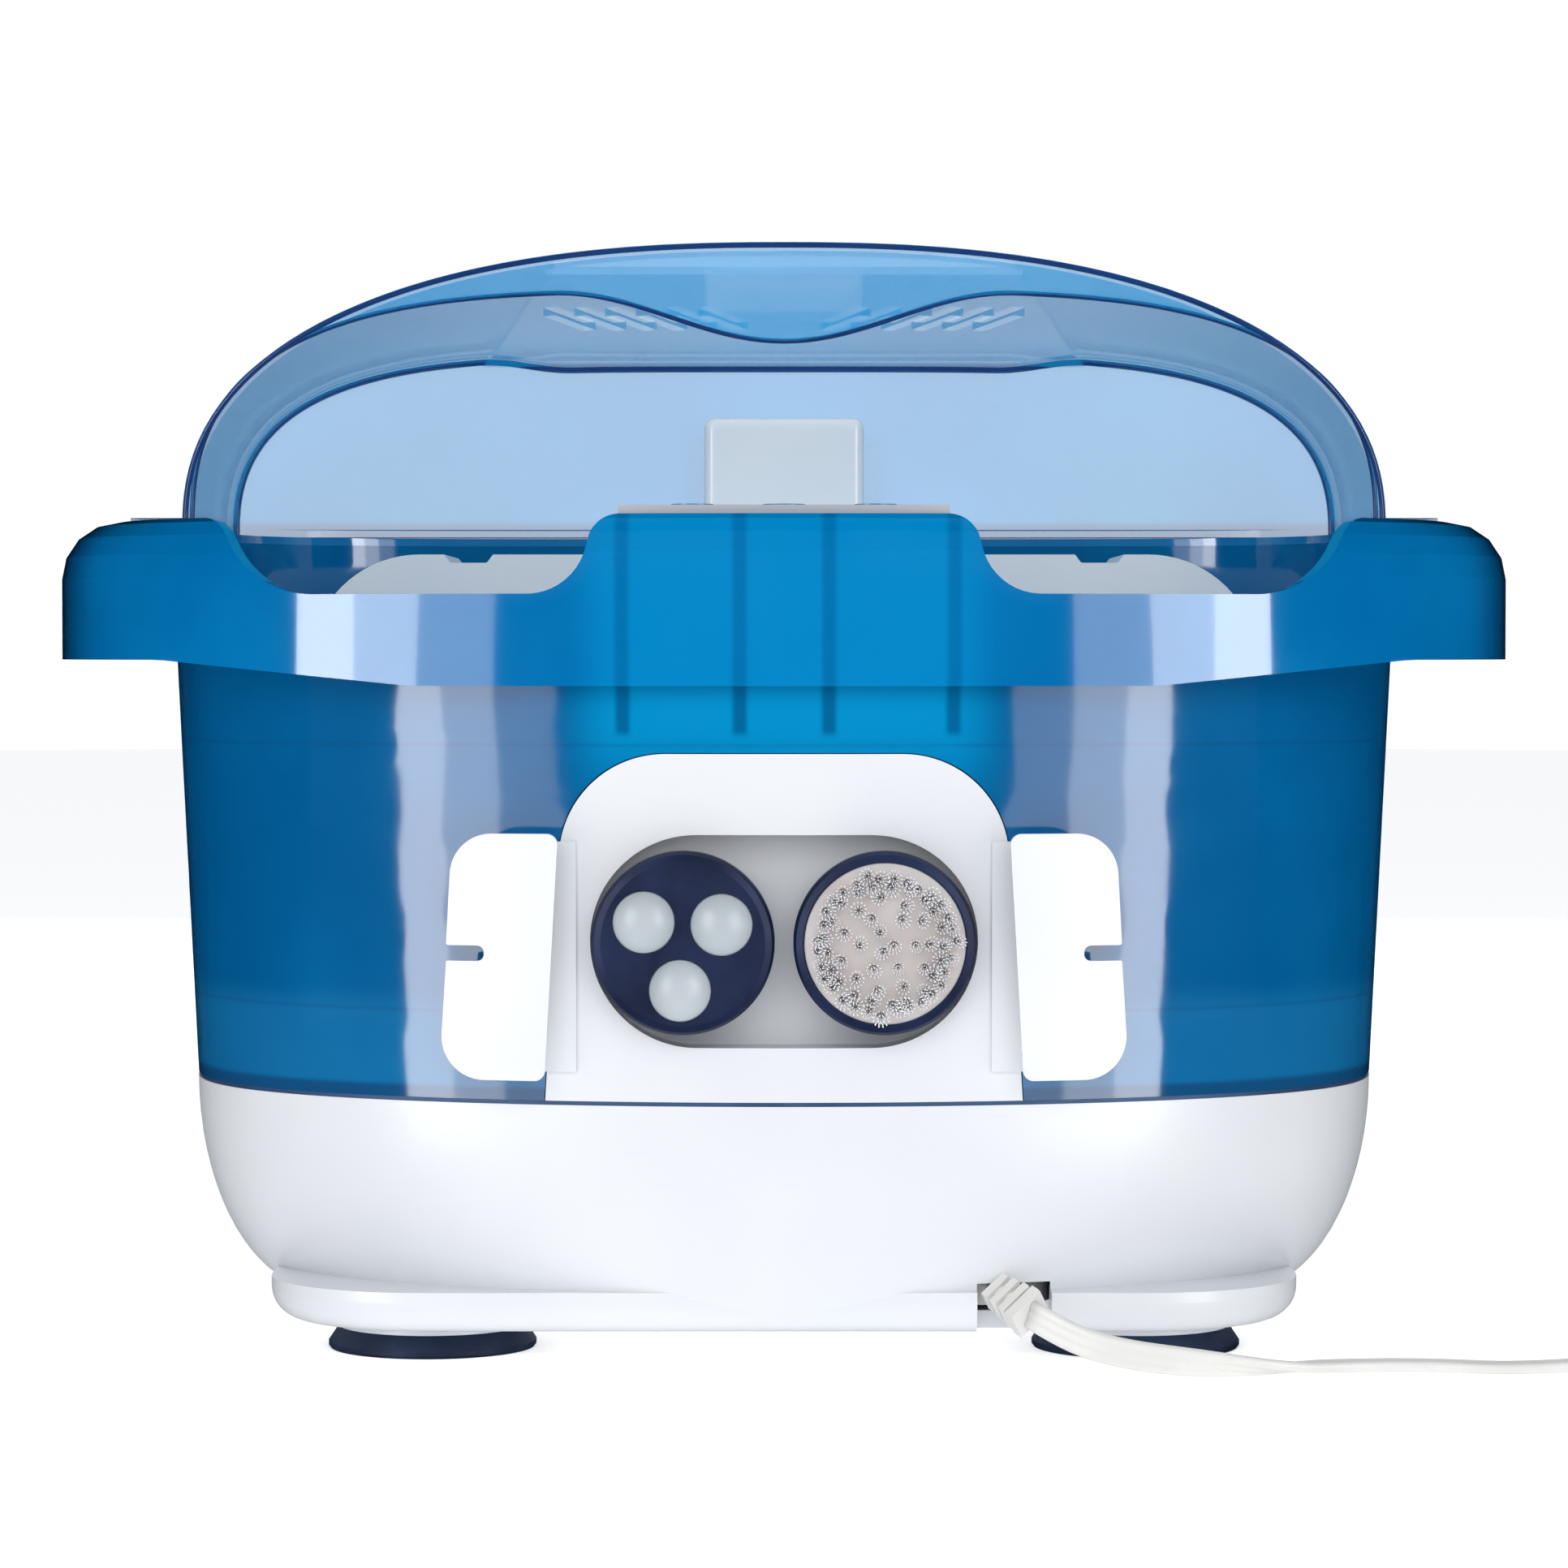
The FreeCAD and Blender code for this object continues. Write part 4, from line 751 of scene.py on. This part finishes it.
def sky_dome(shape):
    bmesh.ops.create_uvsphere(shape, u_segments=48, v_segments=24, radius=SKY_RADIUS)


floor = stage_piece("floor", floor_disc, stage_finish("floor_pale", (0.86, 0.86, 0.87, 1), FLOOR_GLOW))
sky = stage_piece("sky", sky_dome, stage_finish("sky_pale", (0.0, 0.0, 0.0, 1), SKY_GLOW))
sky.visible_diffuse = sky.visible_glossy = sky.visible_shadow = False
floor.visible_glossy = False

world = bpy.data.worlds.new("world")
world.use_nodes = True
world.node_tree.nodes["Background"].inputs["Color"].default_value = (0.96, 0.98, 1.0, 1)
world.node_tree.nodes["Background"].inputs["Strength"].default_value = WORLD_GLOW
world.cycles_visibility.glossy = False
bpy.context.scene.world = world
bpy.context.scene.view_settings.view_transform = "Standard"

# %% Lamps
# Lamp: place, what it points at, width, height, power, then whether it lights evenly or only reflects.
LAMPS = {
    "top_light": ((0.0, -0.2, 1.6), (0.0, 0.0, 0.2), 1.1, 1.1, 5.0, "lights"),
    "front_fill": ((0.0, -1.9, 0.7), (0.0, 0.0, 0.15), 1.6, 1.0, 15.0, "lights"),
    "rear_fill": ((0.0, 1.9, 0.9), (0.0, 0.0, 0.15), 1.6, 1.0, 10.0, "lights"),
}
# Each softbox is three upright strips, the outer one brightest, so its reflection fades inwards.
STRIPS = [(-49.0, 1.0), (-39.5, 0.62), (-30.0, 0.24)]
STRIP_WIDTH, STRIP_HEIGHT, STRIP_POWER = 0.168, 1.1, 5.4
for side, side_name in ((1, "left"), (-1, "right")):
    for number, (turn, share) in enumerate(STRIPS):
        x, y = side * math.sin(math.radians(turn)), -math.cos(math.radians(turn))
        LAMPS[f"{side_name}_strip_{number}"] = (
            (side * -0.08 + x, y - 0.145, 0.42), (side * -0.08, -0.145, 0.42), STRIP_WIDTH, STRIP_HEIGHT,
            STRIP_POWER * share, "reflects")
for name, (place, target, width, height, power, role) in LAMPS.items():
    light = bpy.data.lights.new(name, "AREA")
    light.shape, light.size, light.size_y, light.energy = "RECTANGLE", width, height, power
    lamp = bpy.data.objects.new(name, light)
    lamp.location = place
    lamp.rotation_euler = (Vector(target) - Vector(place)).to_track_quat("-Z", "Y").to_euler()
    lamp.visible_camera = False
    lamp.visible_diffuse, lamp.visible_glossy = role != "reflects", role != "lights"
    bpy.context.scene.collection.objects.link(lamp)
# Clear plastic lets the light in to what stands under it.
NODES["splash_guard"].visible_shadow = NODES["splash_guard"].visible_diffuse = False
print("stage and", len(LAMPS), "lamps made")
